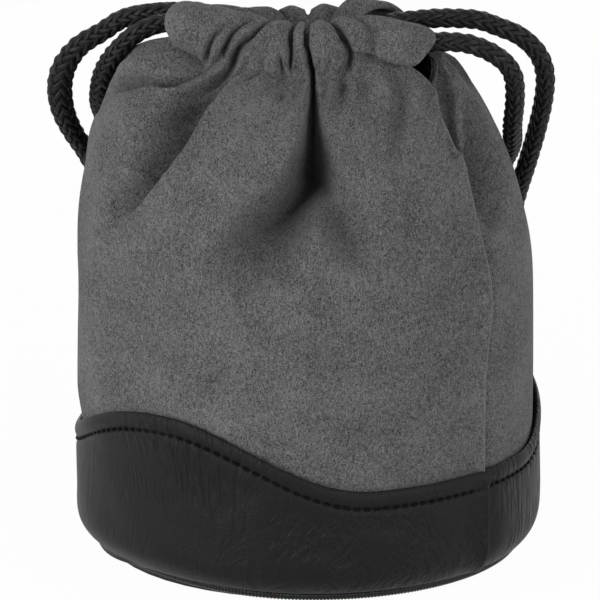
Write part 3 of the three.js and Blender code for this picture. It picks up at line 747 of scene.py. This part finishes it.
def wave_height(angle):
    """The height of the bands' top edge, in mm, at an angle round the pouch in degrees."""
    from_front = angle - FRONT_CREST_ANGLE
    from_back = angle - BACK_CREST_ANGLE
    front_reach = np.where(from_front > 0, FRONT_CREST_REACHES[1], FRONT_CREST_REACHES[0])
    front_wave = np.cos(np.clip(np.abs(from_front) / front_reach, 0, 1) * math.pi)
    back_wave = np.cos(np.clip(np.abs(from_back) / BACK_CREST_REACH, 0, 1) * math.pi)
    return WAVE_LOW + (WAVE_CREST - WAVE_LOW) * (1 + np.maximum(front_wave, back_wave)) / 2


def leather_band(name, ends, lap):
    """One strip of leather, bent round the foot, with a rolled top edge and a dent along its stitching."""
    shape = bmesh.new()
    bmesh.ops.create_grid(shape, x_segments=BAND_COLUMNS, y_segments=BAND_ROWS, size=0.5)
    flat = np.array([v.co for v in shape.verts])
    angle = ends[0] + (flat[:, 0] + 0.5) * (ends[1] - ends[0])
    edge = wave_height(angle)
    climb = 1 - (0.5 - flat[:, 1]) ** ROW_CROWDING
    foot = BAND_FOOT - LEFT_DROP * bell(angle, LEFT_DROP_ANGLE, LEFT_DROP_REACH)
    height = foot + climb * (edge - foot)
    below = edge - height
    rolled = EDGE_ROLL * np.clip(1 - below / EDGE_ROLL_WIDTH, 0, 1) ** 2
    dent = STITCH_DENT * bell(below, STITCH_INSET, STITCH_DENT_WIDTH)
    puff = EDGE_PUFF * bell(below, *EDGE_PUFF_PLACE)
    slack = HIDE_SLACK * np.sin(np.radians(angle) * SLACK_TURNS + height / SLACK_RISES[0])
    slack *= np.sin(height / SLACK_RISES[1] + 1) * ramp(height, *SLACK_START)
    outset = BAND_OUTSET - rolled - dent + puff + slack + lap(angle)
    for vert, spot in zip(shape.verts, cloth_surface(angle, height, outset) * MM):
        vert.co = spot
    hide = shape.loops.layers.uv.new("hide")
    under = shape.verts.layers.float.new("below_edge")
    for vert, depth in zip(shape.verts, below):
        vert[under] = depth
    for face in shape.faces:
        for loop in face.loops:
            number = loop.vert.index
            loop[hide].uv = (math.radians(angle[number]) * WALL_RADIUS * MM, height[number] * MM)
    band = new_piece(name, shape)
    give_thickness(band, BAND_THICKNESS)
    return band


def front_lap(angle):
    """The front strip's right end stands proud of the back strip."""
    return FRONT_LAP * ramp(angle, *FRONT_LAP_ANGLES) ** 2


def back_lap(angle):
    """The back strip lies close under the front strip's end."""
    return -BACK_LAP * ramp(angle, *BACK_LAP_ANGLES) ** 2


band_front = leather_band("band_front", FRONT_BAND_ENDS, front_lap)
band_back = leather_band("band_back", BACK_BAND_ENDS, back_lap)

GRAIN_VALLEY = 0.22
GRAIN_PORES = 0.5
CREASE_WIDTH = 0.13
CREASE_PATCH_LIMITS = (0.36, 0.54)
CREASE_SPOT_LIMITS = (0.3, 1)

grain, grain_in, grain_out = new_group("grain", ["Vector"], ["Cells"], ["Height"])
grain_cells = add_node(grain, "TexVoronoi", {"Vector": grain_in["Vector"], "Scale": grain_in["Cells"]})
grain_cells.feature = "DISTANCE_TO_EDGE"
grain_valley = spread(grain, grain_cells.outputs["Distance"], (0, GRAIN_VALLEY))
grain_pores = noise(grain, grain_in["Vector"], grain_in["Cells"], Detail=4)
grain.links.new(blended(grain, GRAIN_PORES, grain_valley, grain_pores), grain_out["Height"])

creases, creases_in, creases_out = new_group(
    "creases", ["Vector", "Lean", "Stretch", "Spot", "Spread"], ["Patches"], ["Height"]
)
creases_place = creases_in["Vector"]
creases_lay = add_node(
    creases,
    "Mapping",
    {"Vector": creases_place, "Rotation": creases_in["Lean"], "Scale": creases_in["Stretch"]},
)
creases_lay.vector_type = "TEXTURE"
creases_wander = noise(creases, creases_lay.outputs["Vector"], 1, Detail=2)
creases_side = reckon(creases, "ABSOLUTE", reckon(creases, "SUBTRACT", creases_wander, 0.5))
creases_line = spread(creases, creases_side, (0, CREASE_WIDTH), (1, 0), smooth=True)
creases_where = noise(creases, creases_place, creases_in["Patches"], Detail=1)
creases_mask = spread(creases, creases_where, CREASE_PATCH_LIMITS)
creases_away = add_node(
    creases,
    "Mapping",
    {"Vector": creases_place, "Location": creases_in["Spot"], "Scale": creases_in["Spread"]},
)
creases_away.vector_type = "TEXTURE"
creases_far = add_node(creases, "VectorMath", {0: creases_away.outputs["Vector"]}, operation="LENGTH")
creases_spot = spread(creases, creases_far.outputs["Value"], CREASE_SPOT_LIMITS, (1, 0), smooth=True)
creases_here = reckon(creases, "MULTIPLY", creases_line, creases_mask)
creases.links.new(reckon(creases, "MULTIPLY", creases_here, creases_spot), creases_out["Height"])

LEATHER_COLOUR = (0.0065, 0.0065, 0.0068, 1)
# The band's top edge is near-black: edge paint on the cut edge, and painted shade along the rolled edge
# under the suede.
LEATHER_EDGE_PAINT_AND_SHADE = (0.003, 0.003, 0.003, 1)
LEATHER_FINISH = {"Roughness": 0.48, "Specular IOR Level": 0.13}
LEATHER_CELLS = 1700
PORE_SHARE = 0.45
CREASE_PATCHES = 90
HIDE_DEPTH = 0.28
# How far below the top edge the edge paint and painted shade reach, in mm.
EDGE_DARK_LIMITS = (0.1, 0.7)
# The stitch row's groove is painted darker, as painted shade: its reach in mm and how dark it goes.
GROOVE_PAINTED_SHADE_LIMITS = (0.2, 0.55)
GROOVE_PAINTED_SHADE = 0.6

# Creases in the hide: their lean in degrees, their width and length, the middle of the creased spot
# (along the band and up it) and the spot's reach, in mm, and their depth.
HIDE_CREASES = [
    {"lean": 9, "size": (2.4, 19), "spot": (-103, 29), "reach": (24, 16), "depth": 2.6},
    {"lean": 25, "size": (2.2, 6.5), "spot": (-56, 11), "reach": (42, 19), "depth": 1},
    {"lean": -48, "size": (2.4, 7), "spot": (-62, 10), "reach": (42, 18), "depth": 0.9},
    {"lean": 2, "size": (3, 26), "spot": (-8, 18), "reach": (34, 30), "depth": 1.8},
    {"lean": -6, "size": (3.4, 14), "spot": (30, 18), "reach": (240, 60), "depth": 0.9},
]

band_leather, band_tree, band_skin = new_material("band_leather", LEATHER_FINISH)
band_place = add_node(band_tree, "UVMap")
band_place.uv_map = "hide"
band_hide = band_place.outputs["UV"]
band_grain = add_node(band_tree, "Group", {"Cells": LEATHER_CELLS, "Vector": band_hide}, group=grain)
band_height = reckon(band_tree, "MULTIPLY", band_grain.outputs["Height"], PORE_SHARE)
for crease in HIDE_CREASES:
    crease_values = {
        "Vector": band_hide,
        "Lean": (0, 0, math.radians(crease["lean"])),
        "Stretch": (crease["size"][0] * MM, crease["size"][1] * MM, 1),
        "Patches": CREASE_PATCHES,
        "Spot": (crease["spot"][0] * MM, crease["spot"][1] * MM, 0),
        "Spread": (crease["reach"][0] * MM, crease["reach"][1] * MM, 1),
    }
    band_crease = add_node(band_tree, "Group", crease_values, group=creases).outputs["Height"]
    band_height = reckon(band_tree, "MULTIPLY_ADD", band_crease, -crease["depth"], band_height)
add_bump(band_tree, band_skin, band_height, HIDE_DEPTH, strength=0.7)
band_depth = add_node(band_tree, "Attribute")
band_depth.attribute_name = "below_edge"
band_below = band_depth.outputs["Fac"]
# The top edge is darkened: edge paint, and painted shade under the suede's overhang.
band_edge_paint_and_shade = spread(band_tree, band_below, EDGE_DARK_LIMITS)
# Painted shade along the stitch row's groove.
band_from_row = reckon(band_tree, "ABSOLUTE", reckon(band_tree, "SUBTRACT", band_below, STITCH_INSET))
band_groove_painted_shade = spread(band_tree, band_from_row, GROOVE_PAINTED_SHADE_LIMITS, (GROOVE_PAINTED_SHADE, 1))
band_unshaded_share = reckon(band_tree, "MULTIPLY", band_edge_paint_and_shade, band_groove_painted_shade)
band_colour = mixed_colour(band_tree, band_unshaded_share, LEATHER_EDGE_PAINT_AND_SHADE, LEATHER_COLOUR)
band_tree.links.new(band_colour, band_skin["Base Color"])

for band, node in ((band_front, "leather_band_front"), (band_back, "leather_band_back")):
    band.data.materials.append(band_leather)
    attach(band, "pouch")
    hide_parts(node)

# Stitching
# Dark thread holds each band's top edge to the suede, lighter thread closes the casing,
# and a short bar of thread stops the right slit from tearing.
BAND_STITCHES = {"front_band_stitches": (-219.5, -41.5), "back_band_stitches": (-39, 139)}
BAND_PITCH = 2.2
BAND_THREAD = 0.34
BAND_SINK = 0.22
BAND_GAP = 0.12
FRONT_CASING_STITCHES = (-132, -100)
BACK_CASING_STITCHES = (6, 121)
CASING_PITCH = 3.1
CASING_THREAD = 0.22
CASING_GAP = 0.22
CASING_ROW_DROP = 0.6
BAR_STITCHES = 7
BAR_THREAD = 0.28
BAR_ANGLES = (-45.5, -40.4)
BAR_HEIGHT = 92.4
BAR_LIFT = 0.2
DARK_THREAD = (0.0012, 0.0012, 0.0012, 1)
PALE_THREAD = (0.15, 0.15, 0.15, 1)
THREAD_SHADE = 0.5
THREAD_FIBRES = 4000
THREAD_FINISH = {"Roughness": 0.7, "Specular IOR Level": 0.1}


def thread_material(name, colour):
    """Twisted thread of one colour, nearly dull."""
    shaded = [part * THREAD_SHADE for part in colour[:3]] + [1]
    return napped_material(name, shaded, colour, THREAD_FIBRES, THREAD_FINISH)


def stitch_row(name, starts, ends, outs, thread, material):
    """A row of stitches, each a short bead of thread sunk at both ends."""
    shape = bmesh.new()
    for start, end, out in zip(starts, ends, outs):
        along = Vector(end - start)
        ahead = along.normalized()
        aside = Vector(out).cross(along).normalized()
        turn = Matrix((ahead, aside, ahead.cross(aside))).transposed().to_4x4()
        place = Matrix.Translation(Vector(start + end) / 2 * MM) @ turn
        size = Matrix.Diagonal((along.length / 2 * MM, thread * MM, thread * MM, 1))
        bmesh.ops.create_uvsphere(shape, u_segments=8, v_segments=6, radius=1, matrix=place @ size)
    row = new_piece(name, shape)
    row.data.materials.append(material)
    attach(row, "pouch")


def stitch_ends(row_ends, radius, pitch, gap):
    """The angles at which the stitches of a row start and end, with a share of each left as a gap."""
    first, last = row_ends
    count = round(math.radians(last - first) * radius / pitch)
    ends = first + np.arange(count + 1) * (last - first) / count
    bare = (last - first) / count * gap
    return ends[:-1] + bare, ends[1:] - bare


dark_thread = thread_material("dark_thread", DARK_THREAD)
pale_thread = thread_material("pale_thread", PALE_THREAD)
for row_name, row_ends in BAND_STITCHES.items():
    starts, finishes = (
        cloth_surface(angles, wave_height(angles) - STITCH_INSET, BAND_OUTSET - BAND_SINK)
        for angles in stitch_ends(row_ends, WALL_RADIUS + BAND_OUTSET, BAND_PITCH, BAND_GAP)
    )
    stitch_row(row_name, starts, finishes, finishes * (1, 1, 0), BAND_THREAD, dark_thread)
for row_name, row_ends, folds, tuck in (
    ("front_casing_stitches", FRONT_CASING_STITCHES, FRONT_FOLDS, front_tuck),
    ("back_casing_stitches", BACK_CASING_STITCHES, BACK_FOLDS, back_tuck),
):
    (starts, _), (finishes, outs) = (
        folded_cloth(angles, np.full(len(angles), STITCH_HEIGHT - CASING_ROW_DROP), folds, tuck)
        for angles in stitch_ends(row_ends, WALL_RADIUS, CASING_PITCH, CASING_GAP)
    )
    stitch_row(row_name, starts, finishes, outs, CASING_THREAD, pale_thread)
bar_angles = np.linspace(*BAR_ANGLES, BAR_STITCHES + 1)
bar_heights = np.full(BAR_STITCHES, BAR_HEIGHT)
starts, _ = folded_cloth(bar_angles[:-1], bar_heights, FRONT_FOLDS, front_tuck)
finishes, outs = folded_cloth(bar_angles[1:], bar_heights, FRONT_FOLDS, front_tuck)
stitch_row("slit_bar", starts + outs * BAR_LIFT, finishes + outs * BAR_LIFT, outs, BAR_THREAD, pale_thread)

# Base welt
# A thin cord wrapped in black leather and sewn round the foot. The wrap is drawn up
# in fine ribs, so the rim catches the light in small steps.
WELT_RADIUS = 1.1
WELT_CENTRE = 44.7
WELT_HEIGHT = 1.2
WELT_TUCK = 0.9
WELT_TUCK_ANGLE = -165
WELT_TUCK_REACH = 30
WELT_RIBS = 374
WELT_RIB_DEPTH = 0.1
WELT_RIB_DRIFT = 1.2
WELT_DRIFT_TURNS = 9
WELT_RIB_SLANT = 0.5
WELT_STEPS = WELT_RIBS * 4
WELT_SIDES = 12
WELT_MERGE = 0.005
WELT_COLOUR = (0.004, 0.004, 0.0042, 1)
PLAIN_GLOSS = 0.22

welt_shape = bmesh.new()
bmesh.ops.create_grid(welt_shape, x_segments=WELT_STEPS, y_segments=WELT_SIDES, size=0.5)
for vert in welt_shape.verts:
    turn = (vert.co.x + 0.5) * math.tau
    side = (vert.co.y + 0.5) * math.tau
    drift = WELT_RIB_DRIFT * math.sin(turn * WELT_DRIFT_TURNS) + WELT_RIB_SLANT * math.sin(side)
    thick = WELT_RADIUS - WELT_RIB_DEPTH + WELT_RIB_DEPTH * math.cos(turn * WELT_RIBS + drift)
    angle = math.degrees(turn) - 360
    tucked = WELT_TUCK * bell(angle, WELT_TUCK_ANGLE, WELT_TUCK_REACH)
    lifted = FOOT_LIFT * bell(angle, FOOT_LIFT_ANGLE, FOOT_LIFT_REACH)
    out = WELT_CENTRE - tucked + thick * math.cos(side)
    height = WELT_HEIGHT + lifted + thick * math.sin(side)
    vert.co = Vector((out * math.cos(turn), out * math.sin(turn), height)) * MM
bmesh.ops.remove_doubles(welt_shape, verts=welt_shape.verts, dist=WELT_MERGE * MM)
welt = new_piece("welt", welt_shape)


def grained_leather(name, colour, roughness, cells, depth):
    """Plain black leather with a fine grain and no creases."""
    finish = {"Base Color": colour, "Roughness": roughness, "Specular IOR Level": PLAIN_GLOSS}
    leather, tree, skin = new_material(name, finish)
    place = add_node(tree, "TexCoord").outputs["Object"]
    pattern = add_node(tree, "Group", {"Cells": cells, "Vector": place}, group=grain)
    add_bump(tree, skin, pattern.outputs["Height"], depth)
    return leather


welt_leather = grained_leather("welt_leather", WELT_COLOUR, roughness=0.3, cells=2200, depth=0.08)
welt.data.materials.append(welt_leather)
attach(welt, "pouch")
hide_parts("base_welt")

# Base disc
# A flat round of the same leather closes the bottom inside the welt.
# Its grain shows only when the pouch is lifted.
disc_leather = grained_leather("disc_leather", LEATHER_COLOUR, roughness=0.52, cells=1500, depth=0.12)
base_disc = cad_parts["base_disc"]
base_disc.data.materials.clear()
base_disc.data.materials.append(disc_leather)

# Base board
# A round of grey board inside the bottom keeps it flat.
# It is pressed pulp, so it is mottled and dull.
BOARD_DARK = (0.11, 0.1, 0.085, 1)
BOARD_LIGHT = (0.2, 0.19, 0.165, 1)
BOARD_FIBRES = 900

base_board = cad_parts["base_board"]
base_board.data.materials.clear()
base_board.data.materials.append(
    napped_material("pulp_board", BOARD_DARK, BOARD_LIGHT, BOARD_FIBRES, {"Roughness": 0.9})
)

# Base foam pad
# A soft round of black foam lies on the board, thicker in the middle than at its rim.
# It follows the curve of the pouch's foot.
PAD_PROFILE = [
    (0, 3.5), (41, 3.5), (42.6, 4), (44.6, 6.2), (46, 8.4), (45.6, 9.2), (44, 9.45), (30, 9.5), (0, 9.5),
]
PAD_SIDES = 96
PAD_MERGE = 0.001
FOAM_DARK = (0.02, 0.02, 0.02, 1)
FOAM_LIGHT = (0.06, 0.06, 0.06, 1)
FOAM_FIBRES = 1100
SOFT_FINISH = {"Roughness": 0.9, "Specular IOR Level": 0.15}


def turned_piece(name, profile, material):
    """A round piece turned from a list of (radius, height) points in mm."""
    shape = bmesh.new()
    rim = [shape.verts.new(Vector((radius, 0, height)) * MM) for radius, height in profile]
    edges = [shape.edges.new(pair) for pair in zip(rim, rim[1:])]
    turn = {"cent": (0, 0, 0), "axis": (0, 0, 1), "angle": math.tau, "steps": PAD_SIDES}
    bmesh.ops.spin(shape, geom=rim + edges, use_merge=True, **turn)
    bmesh.ops.remove_doubles(shape, verts=shape.verts, dist=PAD_MERGE * MM)
    bmesh.ops.recalc_face_normals(shape, faces=shape.faces)
    piece = new_piece(name, shape)
    piece.data.materials.append(material)
    return piece


foam = napped_material("foam", FOAM_DARK, FOAM_LIGHT, FOAM_FIBRES, SOFT_FINISH, depth=0.3)
foam_pad = turned_piece("foam_pad", PAD_PROFILE, foam)
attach(foam_pad, "pouch")
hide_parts("base_foam_pad")

# Base lining
# A round of dark brushed cloth lies over the foam, where the lens rests.
# It sinks a little towards its middle.
LINING_PROFILE = [
    (0, 9.75), (24, 9.78), (40, 9.9), (46.4, 9.9), (46.8, 10.2), (46.4, 10.6), (40, 10.65), (24, 10.5),
    (0, 10.45),
]
LINING_DARK = (0.035, 0.035, 0.035, 1)
LINING_LIGHT = (0.1, 0.1, 0.1, 1)
LINING_FIBRES = 1300

lining_cloth = napped_material("lining", LINING_DARK, LINING_LIGHT, LINING_FIBRES, SOFT_FINISH, depth=0.2)
lining = turned_piece("lining", LINING_PROFILE, lining_cloth)
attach(lining, "pouch")
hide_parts("base_lining_disc")

# Cords in the casing
# Two black braided cords run round the casing, one above the other. Each goes almost all the way round
# and comes out at its own slit, so that pulling both ways draws the mouth shut.
CORD_RADIUS = 2.2
YARNS = 8
YARN_WIDTH = 0.62
YARN_THICKNESS = 0.42
YARN_LIFT = 0.28
YARN_SIDES = 8
BRAID_ANGLE = math.radians(33)
BRAID_STEP = 0.5
LINE_STEPS = 30
CORE_RADIUS = 1.4
CASING_SQUEEZE = 0.75
EXIT_CORE = 0.85
BRAID_SIDE = (0.3, 0.9, 0.2)
CORE_SIDE = (0.1, 0.2, 0.97)
BEND_REACH = 11
RIGHT_CORD_PLACE = {"angles": (-6, 302), "inset": 6.6, "level": 110.6, "rise": 2.4}
RIGHT_EXIT_CORES = [[(16, -8.6, 112.8), (26, -8, 113.9)], [(17.5, 7.8, 113.2), (26, 6.6, 114.3)]]
LEFT_CORD_PLACE = {"angles": (-208, 122), "inset": 6.6, "level": 107.6, "rise": 5}
LEFT_EXIT_CORES = [[(-15.5, 8, 112.8), (-24.5, 8, 115)]]
CASING_STEPS = 80
RISE_SHARE = 0.07
# The yarns' dark colour, and the lighter colour of painted glints along them, which are painted highlights.
BRAID_DARK = (0.003, 0.003, 0.0031, 1)
BRAID_PAINTED_GLINT = (0.036, 0.036, 0.037, 1)
BRAID_FINISH = {"Roughness": 0.5, "Specular IOR Level": 0.18}
FIBRE_STRETCH = (12, 0.45, 1)
FIBRE_DEPTH = 0.15
PAINTED_GLINT_LIMITS = (0.5, 0.72)


def distances(line):
    """How far along a line each of its points lies."""
    return np.append(0, np.cumsum(np.linalg.norm(np.diff(line, axis=0), axis=1)))


def unit(steps):
    """The same directions, each one unit long."""
    return steps / np.linalg.norm(steps, axis=1)[:, None]


def smooth_line(points, step):
    """A smooth line through the points, in mm, as points about one step apart."""
    knots = np.array(points, float)
    room = np.linalg.norm(np.diff(knots, axis=0), axis=1)[:, None]
    ways = unit(chords(knots))
    curve = curve_through(knots, ways[:-1] * room, ways[1:] * room, LINE_STEPS)
    fine = np.vstack([curve, knots[-1:]])
    lengths = distances(fine)
    even = np.linspace(0, lengths[-1], max(2, round(lengths[-1] / step)))
    return np.stack([np.interp(even, lengths, fine[:, axis]) for axis in range(3)], axis=-1)


braid_material, braid_tree, braid_skin = new_material("braid", BRAID_FINISH)
braid_place = add_node(braid_tree, "UVMap")
braid_place.uv_map = "fibre"
braid_lay = add_node(braid_tree, "Mapping", {"Vector": braid_place.outputs["UV"], "Scale": FIBRE_STRETCH})
braid_fibre = noise(braid_tree, braid_lay.outputs["Vector"], 1, Detail=3)
# Lighter streaks along the yarns are painted glints: painted highlights on the filaments.
braid_painted_glint = spread(braid_tree, braid_fibre, PAINTED_GLINT_LIMITS)
braid_colour = mixed_colour(braid_tree, braid_painted_glint, BRAID_DARK, BRAID_PAINTED_GLINT)
braid_tree.links.new(braid_colour, braid_skin["Base Color"])
add_bump(braid_tree, braid_skin, braid_fibre, FIBRE_DEPTH, strength=0.6)


def braid(name, lines, cores=(), size=1, flatter=0):
    """A round braid along each line: eight yarns each way, two over and two under, round a dark core.

    A cord that lies flatter is wider across the view by that share where it turns down.
    """
    spots = []
    faces = []
    fibres = []

    def lay(path, radial, wide, thick, spine=0, widen=0):
        along = unit(np.gradient(path, axis=0))
        across = unit(np.cross(along, radial))
        outward = np.cross(across, along)
        around = (np.arange(YARN_SIDES) * math.tau / YARN_SIDES - math.pi / 2)[:, None]
        ring = wide * np.cos(around) * across[:, None] + thick * np.sin(around) * outward[:, None]
        first = len(spots)
        skin = path[:, None] + ring
        skin += ((skin - spine) * widen).sum(axis=-1, keepdims=True) * widen
        spots.extend((skin * MM).reshape(-1, 3).tolist())
        run = distances(path)
        for spot in range(len(path) - 1):
            here = first + spot * YARN_SIDES
            next_ring = here + YARN_SIDES
            for side in range(YARN_SIDES):
                after = (side + 1) % YARN_SIDES
                faces.append((here + side, next_ring + side, next_ring + after, here + after))
                near, far = side / YARN_SIDES, (side + 1) / YARN_SIDES
                fibres.extend((near, run[spot], near, run[spot + 1], far, run[spot + 1], far, run[spot]))
        last = len(spots) - YARN_SIDES
        faces.append(tuple(range(first, first + YARN_SIDES)))
        faces.append(tuple(range(last + YARN_SIDES - 1, last - 1, -1)))
        fibres.extend((0, 0) * YARN_SIDES * 2)

    middle = (CORD_RADIUS - YARN_THICKNESS - YARN_LIFT) * size
    twist = math.tan(BRAID_ANGLE) / CORD_RADIUS
    for line in lines:
        run = distances(line)
        ahead = unit(np.gradient(line, axis=0))
        aside = np.zeros_like(ahead)
        side = np.cross(ahead[0], BRAID_SIDE)
        for spot, heading in enumerate(ahead):
            side = side - heading * side.dot(heading)
            side /= np.linalg.norm(side)
            aside[spot] = side
        upward = np.cross(ahead, aside)
        bend = run[np.argmax(np.abs(line[:, 0]))]
        near_bend = np.exp(-(((run - bend) / BEND_REACH) ** 2) / 2)[:, None]
        widen = (np.cross(ahead, (0, 1, 0)) * np.sqrt(flatter) * near_bend)[:, None]
        spine = line[:, None]
        lay(line, aside, CORE_RADIUS * size, CORE_RADIUS * size, spine, widen)
        for yarn in range(YARNS):
            for way in (1, -1):
                crossed = yarn + way * 2 * twist * run * YARNS / math.tau
                out = middle + way * YARN_LIFT * size * np.cos(math.pi / 2 * (yarn + crossed - 0.5))
                turn = (math.tau * yarn / YARNS + way * twist * run)[:, None]
                radial = np.cos(turn) * aside + np.sin(turn) * upward
                yarn_line = line + out[:, None] * radial
                lay(yarn_line, radial, YARN_WIDTH * size, YARN_THICKNESS * size, spine, widen)
    thin = CORE_RADIUS * EXIT_CORE
    for core in np.array(cores, float):
        lay(core, np.full_like(core, CORE_SIDE), thin, thin)
    mesh = bpy.data.meshes.new(name)
    mesh.from_pydata(spots, [], faces)
    mesh.uv_layers.new(name="fibre").data.foreach_set("uv", fibres)
    mesh.materials.append(braid_material)
    for face in mesh.polygons:
        face.use_smooth = True
    cord = bpy.data.objects.new(name, mesh)
    bpy.context.scene.collection.objects.link(cord)
    return cord


def casing_line(place):
    """A cord's line inside the casing, which rises at both ends to leave the slit."""
    share = np.linspace(0, 1, CASING_STEPS)
    first, last = place["angles"]
    turned = np.radians(first + (last - first) * share + TWIST)
    radius = neck_radius(turned, place["inset"])
    near_end = np.clip(1 - np.minimum(share, 1 - share) / RISE_SHARE, 0, 1)
    level = place["level"] + place["rise"] * eased(near_end)
    line = np.stack([radius * np.cos(turned), radius * np.sin(turned), level], axis=-1)
    return smooth_line(line, BRAID_STEP)


for side, cord_place, exit_cores in (
    ("right", RIGHT_CORD_PLACE, RIGHT_EXIT_CORES),
    ("left", LEFT_CORD_PLACE, LEFT_EXIT_CORES),
):
    cord_name = f"{side}_cord_in_casing"
    cord = braid(f"{cord_name}_braid", [casing_line(cord_place)], exit_cores, CASING_SQUEEZE)
    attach(cord, "pouch")
    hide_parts(cord_name)

# Free strands
# Both ends of each cord come out of the slit side by side, arch outwards and hang down behind the pouch.
# They are limp, so they bend where they leave the casing and slide out of it when pulled.
STRAND_ROUTES = {
    "right_front": [
        (16.5, -8.5, 112.8), (22, -8.1, 113.2), (28, -8, 113.5), (33.3, -8, 113.2), (36.6, -7.8, 112.2),
        (39.6, -7, 110.5), (42.4, -5.2, 107.7), (44, -3, 103.9), (44.3, 0, 98.3), (43.9, 5, 91.5),
        (43.9, 14, 84.2), (42, 24, 76.8), (39, 33, 68.5), (37, 38, 59), (35.6, 42, 49), (34.8, 45, 41),
        (34.6, 46.3, 34),
    ],
    "right_back": [
        (17.5, 7.8, 113.2), (22, 6.8, 114), (28, 6.5, 114.6), (33.3, 6.5, 114.5), (36.8, 7, 114),
        (40.6, 8.2, 112.3), (45.4, 9.6, 109.8), (49.2, 11.5, 105.6), (50.9, 13.5, 100.6),
        (50.8, 16, 94.3), (49.3, 20, 85.5), (47.3, 24.5, 76.6), (45.6, 28.8, 69.5), (43.4, 34, 59),
        (41.2, 38.8, 48.5), (39.6, 42.2, 40), (38.8, 43.6, 34),
    ],
    "left_front": [
        (-18.5, 2.2, 112.9), (-22.5, 2.2, 113.8), (-27, 2.2, 114.7), (-31, 2.2, 114.7),
        (-34.4, 2.5, 113.6), (-37.2, 3.3, 111.8), (-39.6, 4.8, 109.2), (-42, 7, 105.8),
        (-43.7, 10, 101.8), (-44.5, 13.4, 97.3), (-44.6, 18.5, 92.2), (-43, 28.5, 84), (-39.8, 34, 74.5),
        (-36.8, 38.8, 63), (-34.6, 42.6, 51), (-33.3, 45.6, 41), (-33, 46.6, 34),
    ],
    "left_back": [
        (-17.5, 8.4, 113.6), (-22, 8.2, 114.7), (-27, 8, 115.6), (-31, 8.1, 115.6), (-34.5, 8.6, 115.1),
        (-37.6, 9.5, 114.3), (-40.6, 10.8, 112.8), (-44.2, 12, 110), (-49, 13.2, 106.6),
        (-52.2, 14.6, 102), (-53.4, 16.2, 97), (-52.9, 18.2, 91.2), (-51, 20.8, 85.7),
        (-47.9, 24.4, 79.5), (-44.5, 29.5, 71), (-41.8, 35, 60.5), (-39.6, 39.8, 49), (-38.2, 43.2, 40),
        (-37.6, 44.6, 34),
    ],
}
LEFT_FLATTER = 0.36

strands = {}
strand_lines = {}
for name, route in STRAND_ROUTES.items():
    side = name.split("_")[0]
    strand_lines[name] = smooth_line(route, BRAID_STEP)
    flatter = LEFT_FLATTER if side == "left" else 0
    strands[name] = braid(f"{name}_strand_braid", [strand_lines[name]], flatter=flatter)
    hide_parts(f"{name}_cord_exit", f"{name}_strand")
    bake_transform(strands[name])

# Knots
# Each pair of strands ends in a knot behind the pouch: two turns pulled tight round the strands,
# with two short tails whose ends are melted so that they can't fray.
KNOT_WRAP = 4.2
KNOT_DROP = 7
KNOT_TILT = math.radians(24)
KNOT_TURN = math.tau * 1.02
KNOT_STEPS = 70
STRAND_OVERLAP = 0.2
STRAND_DROP = 2.5
STRAND_INSET = 1.6
TAIL_LENGTH = 11
TAIL_SPLAY = math.radians(16)

knots = {}
for side in ("right", "left"):
    first = strand_lines[f"{side}_front"][-1]
    second = strand_lines[f"{side}_back"][-1]
    centre = (first + second) / 2 - (0, 0, KNOT_DROP)
    across = (second - first) / np.linalg.norm(second - first)
    through = np.cross((0, 0, 1), across)
    lines = []
    for tilt in (KNOT_TILT, -KNOT_TILT):
        turn = np.linspace(0, KNOT_TURN, KNOT_STEPS)[:, None]
        slope = across * math.cos(tilt) - np.array((0, 0, math.sin(tilt)))
        lines.append(centre + KNOT_WRAP * (np.cos(turn) * slope + np.sin(turn) * through))
    for end, outward in ((first, -across), (second, across)):
        start = end + (0, 0, STRAND_OVERLAP)
        entry = [start, end - (0, 0, STRAND_DROP), centre + outward * STRAND_INSET]
        lines.append(smooth_line(entry, BRAID_STEP))
        down = outward * math.sin(TAIL_SPLAY) - np.array((0, 0, math.cos(TAIL_SPLAY)))
        tail = centre + outward * CORD_RADIUS / 2
        lines.append(smooth_line([tail, tail + down * TAIL_LENGTH], BRAID_STEP))
    knots[side] = braid(f"{side}_knot_braid", lines)
    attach(knots[side], f"{side}_loop")
    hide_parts(f"{side}_knot")

for name, strand in strands.items():
    side, place = name.split("_")
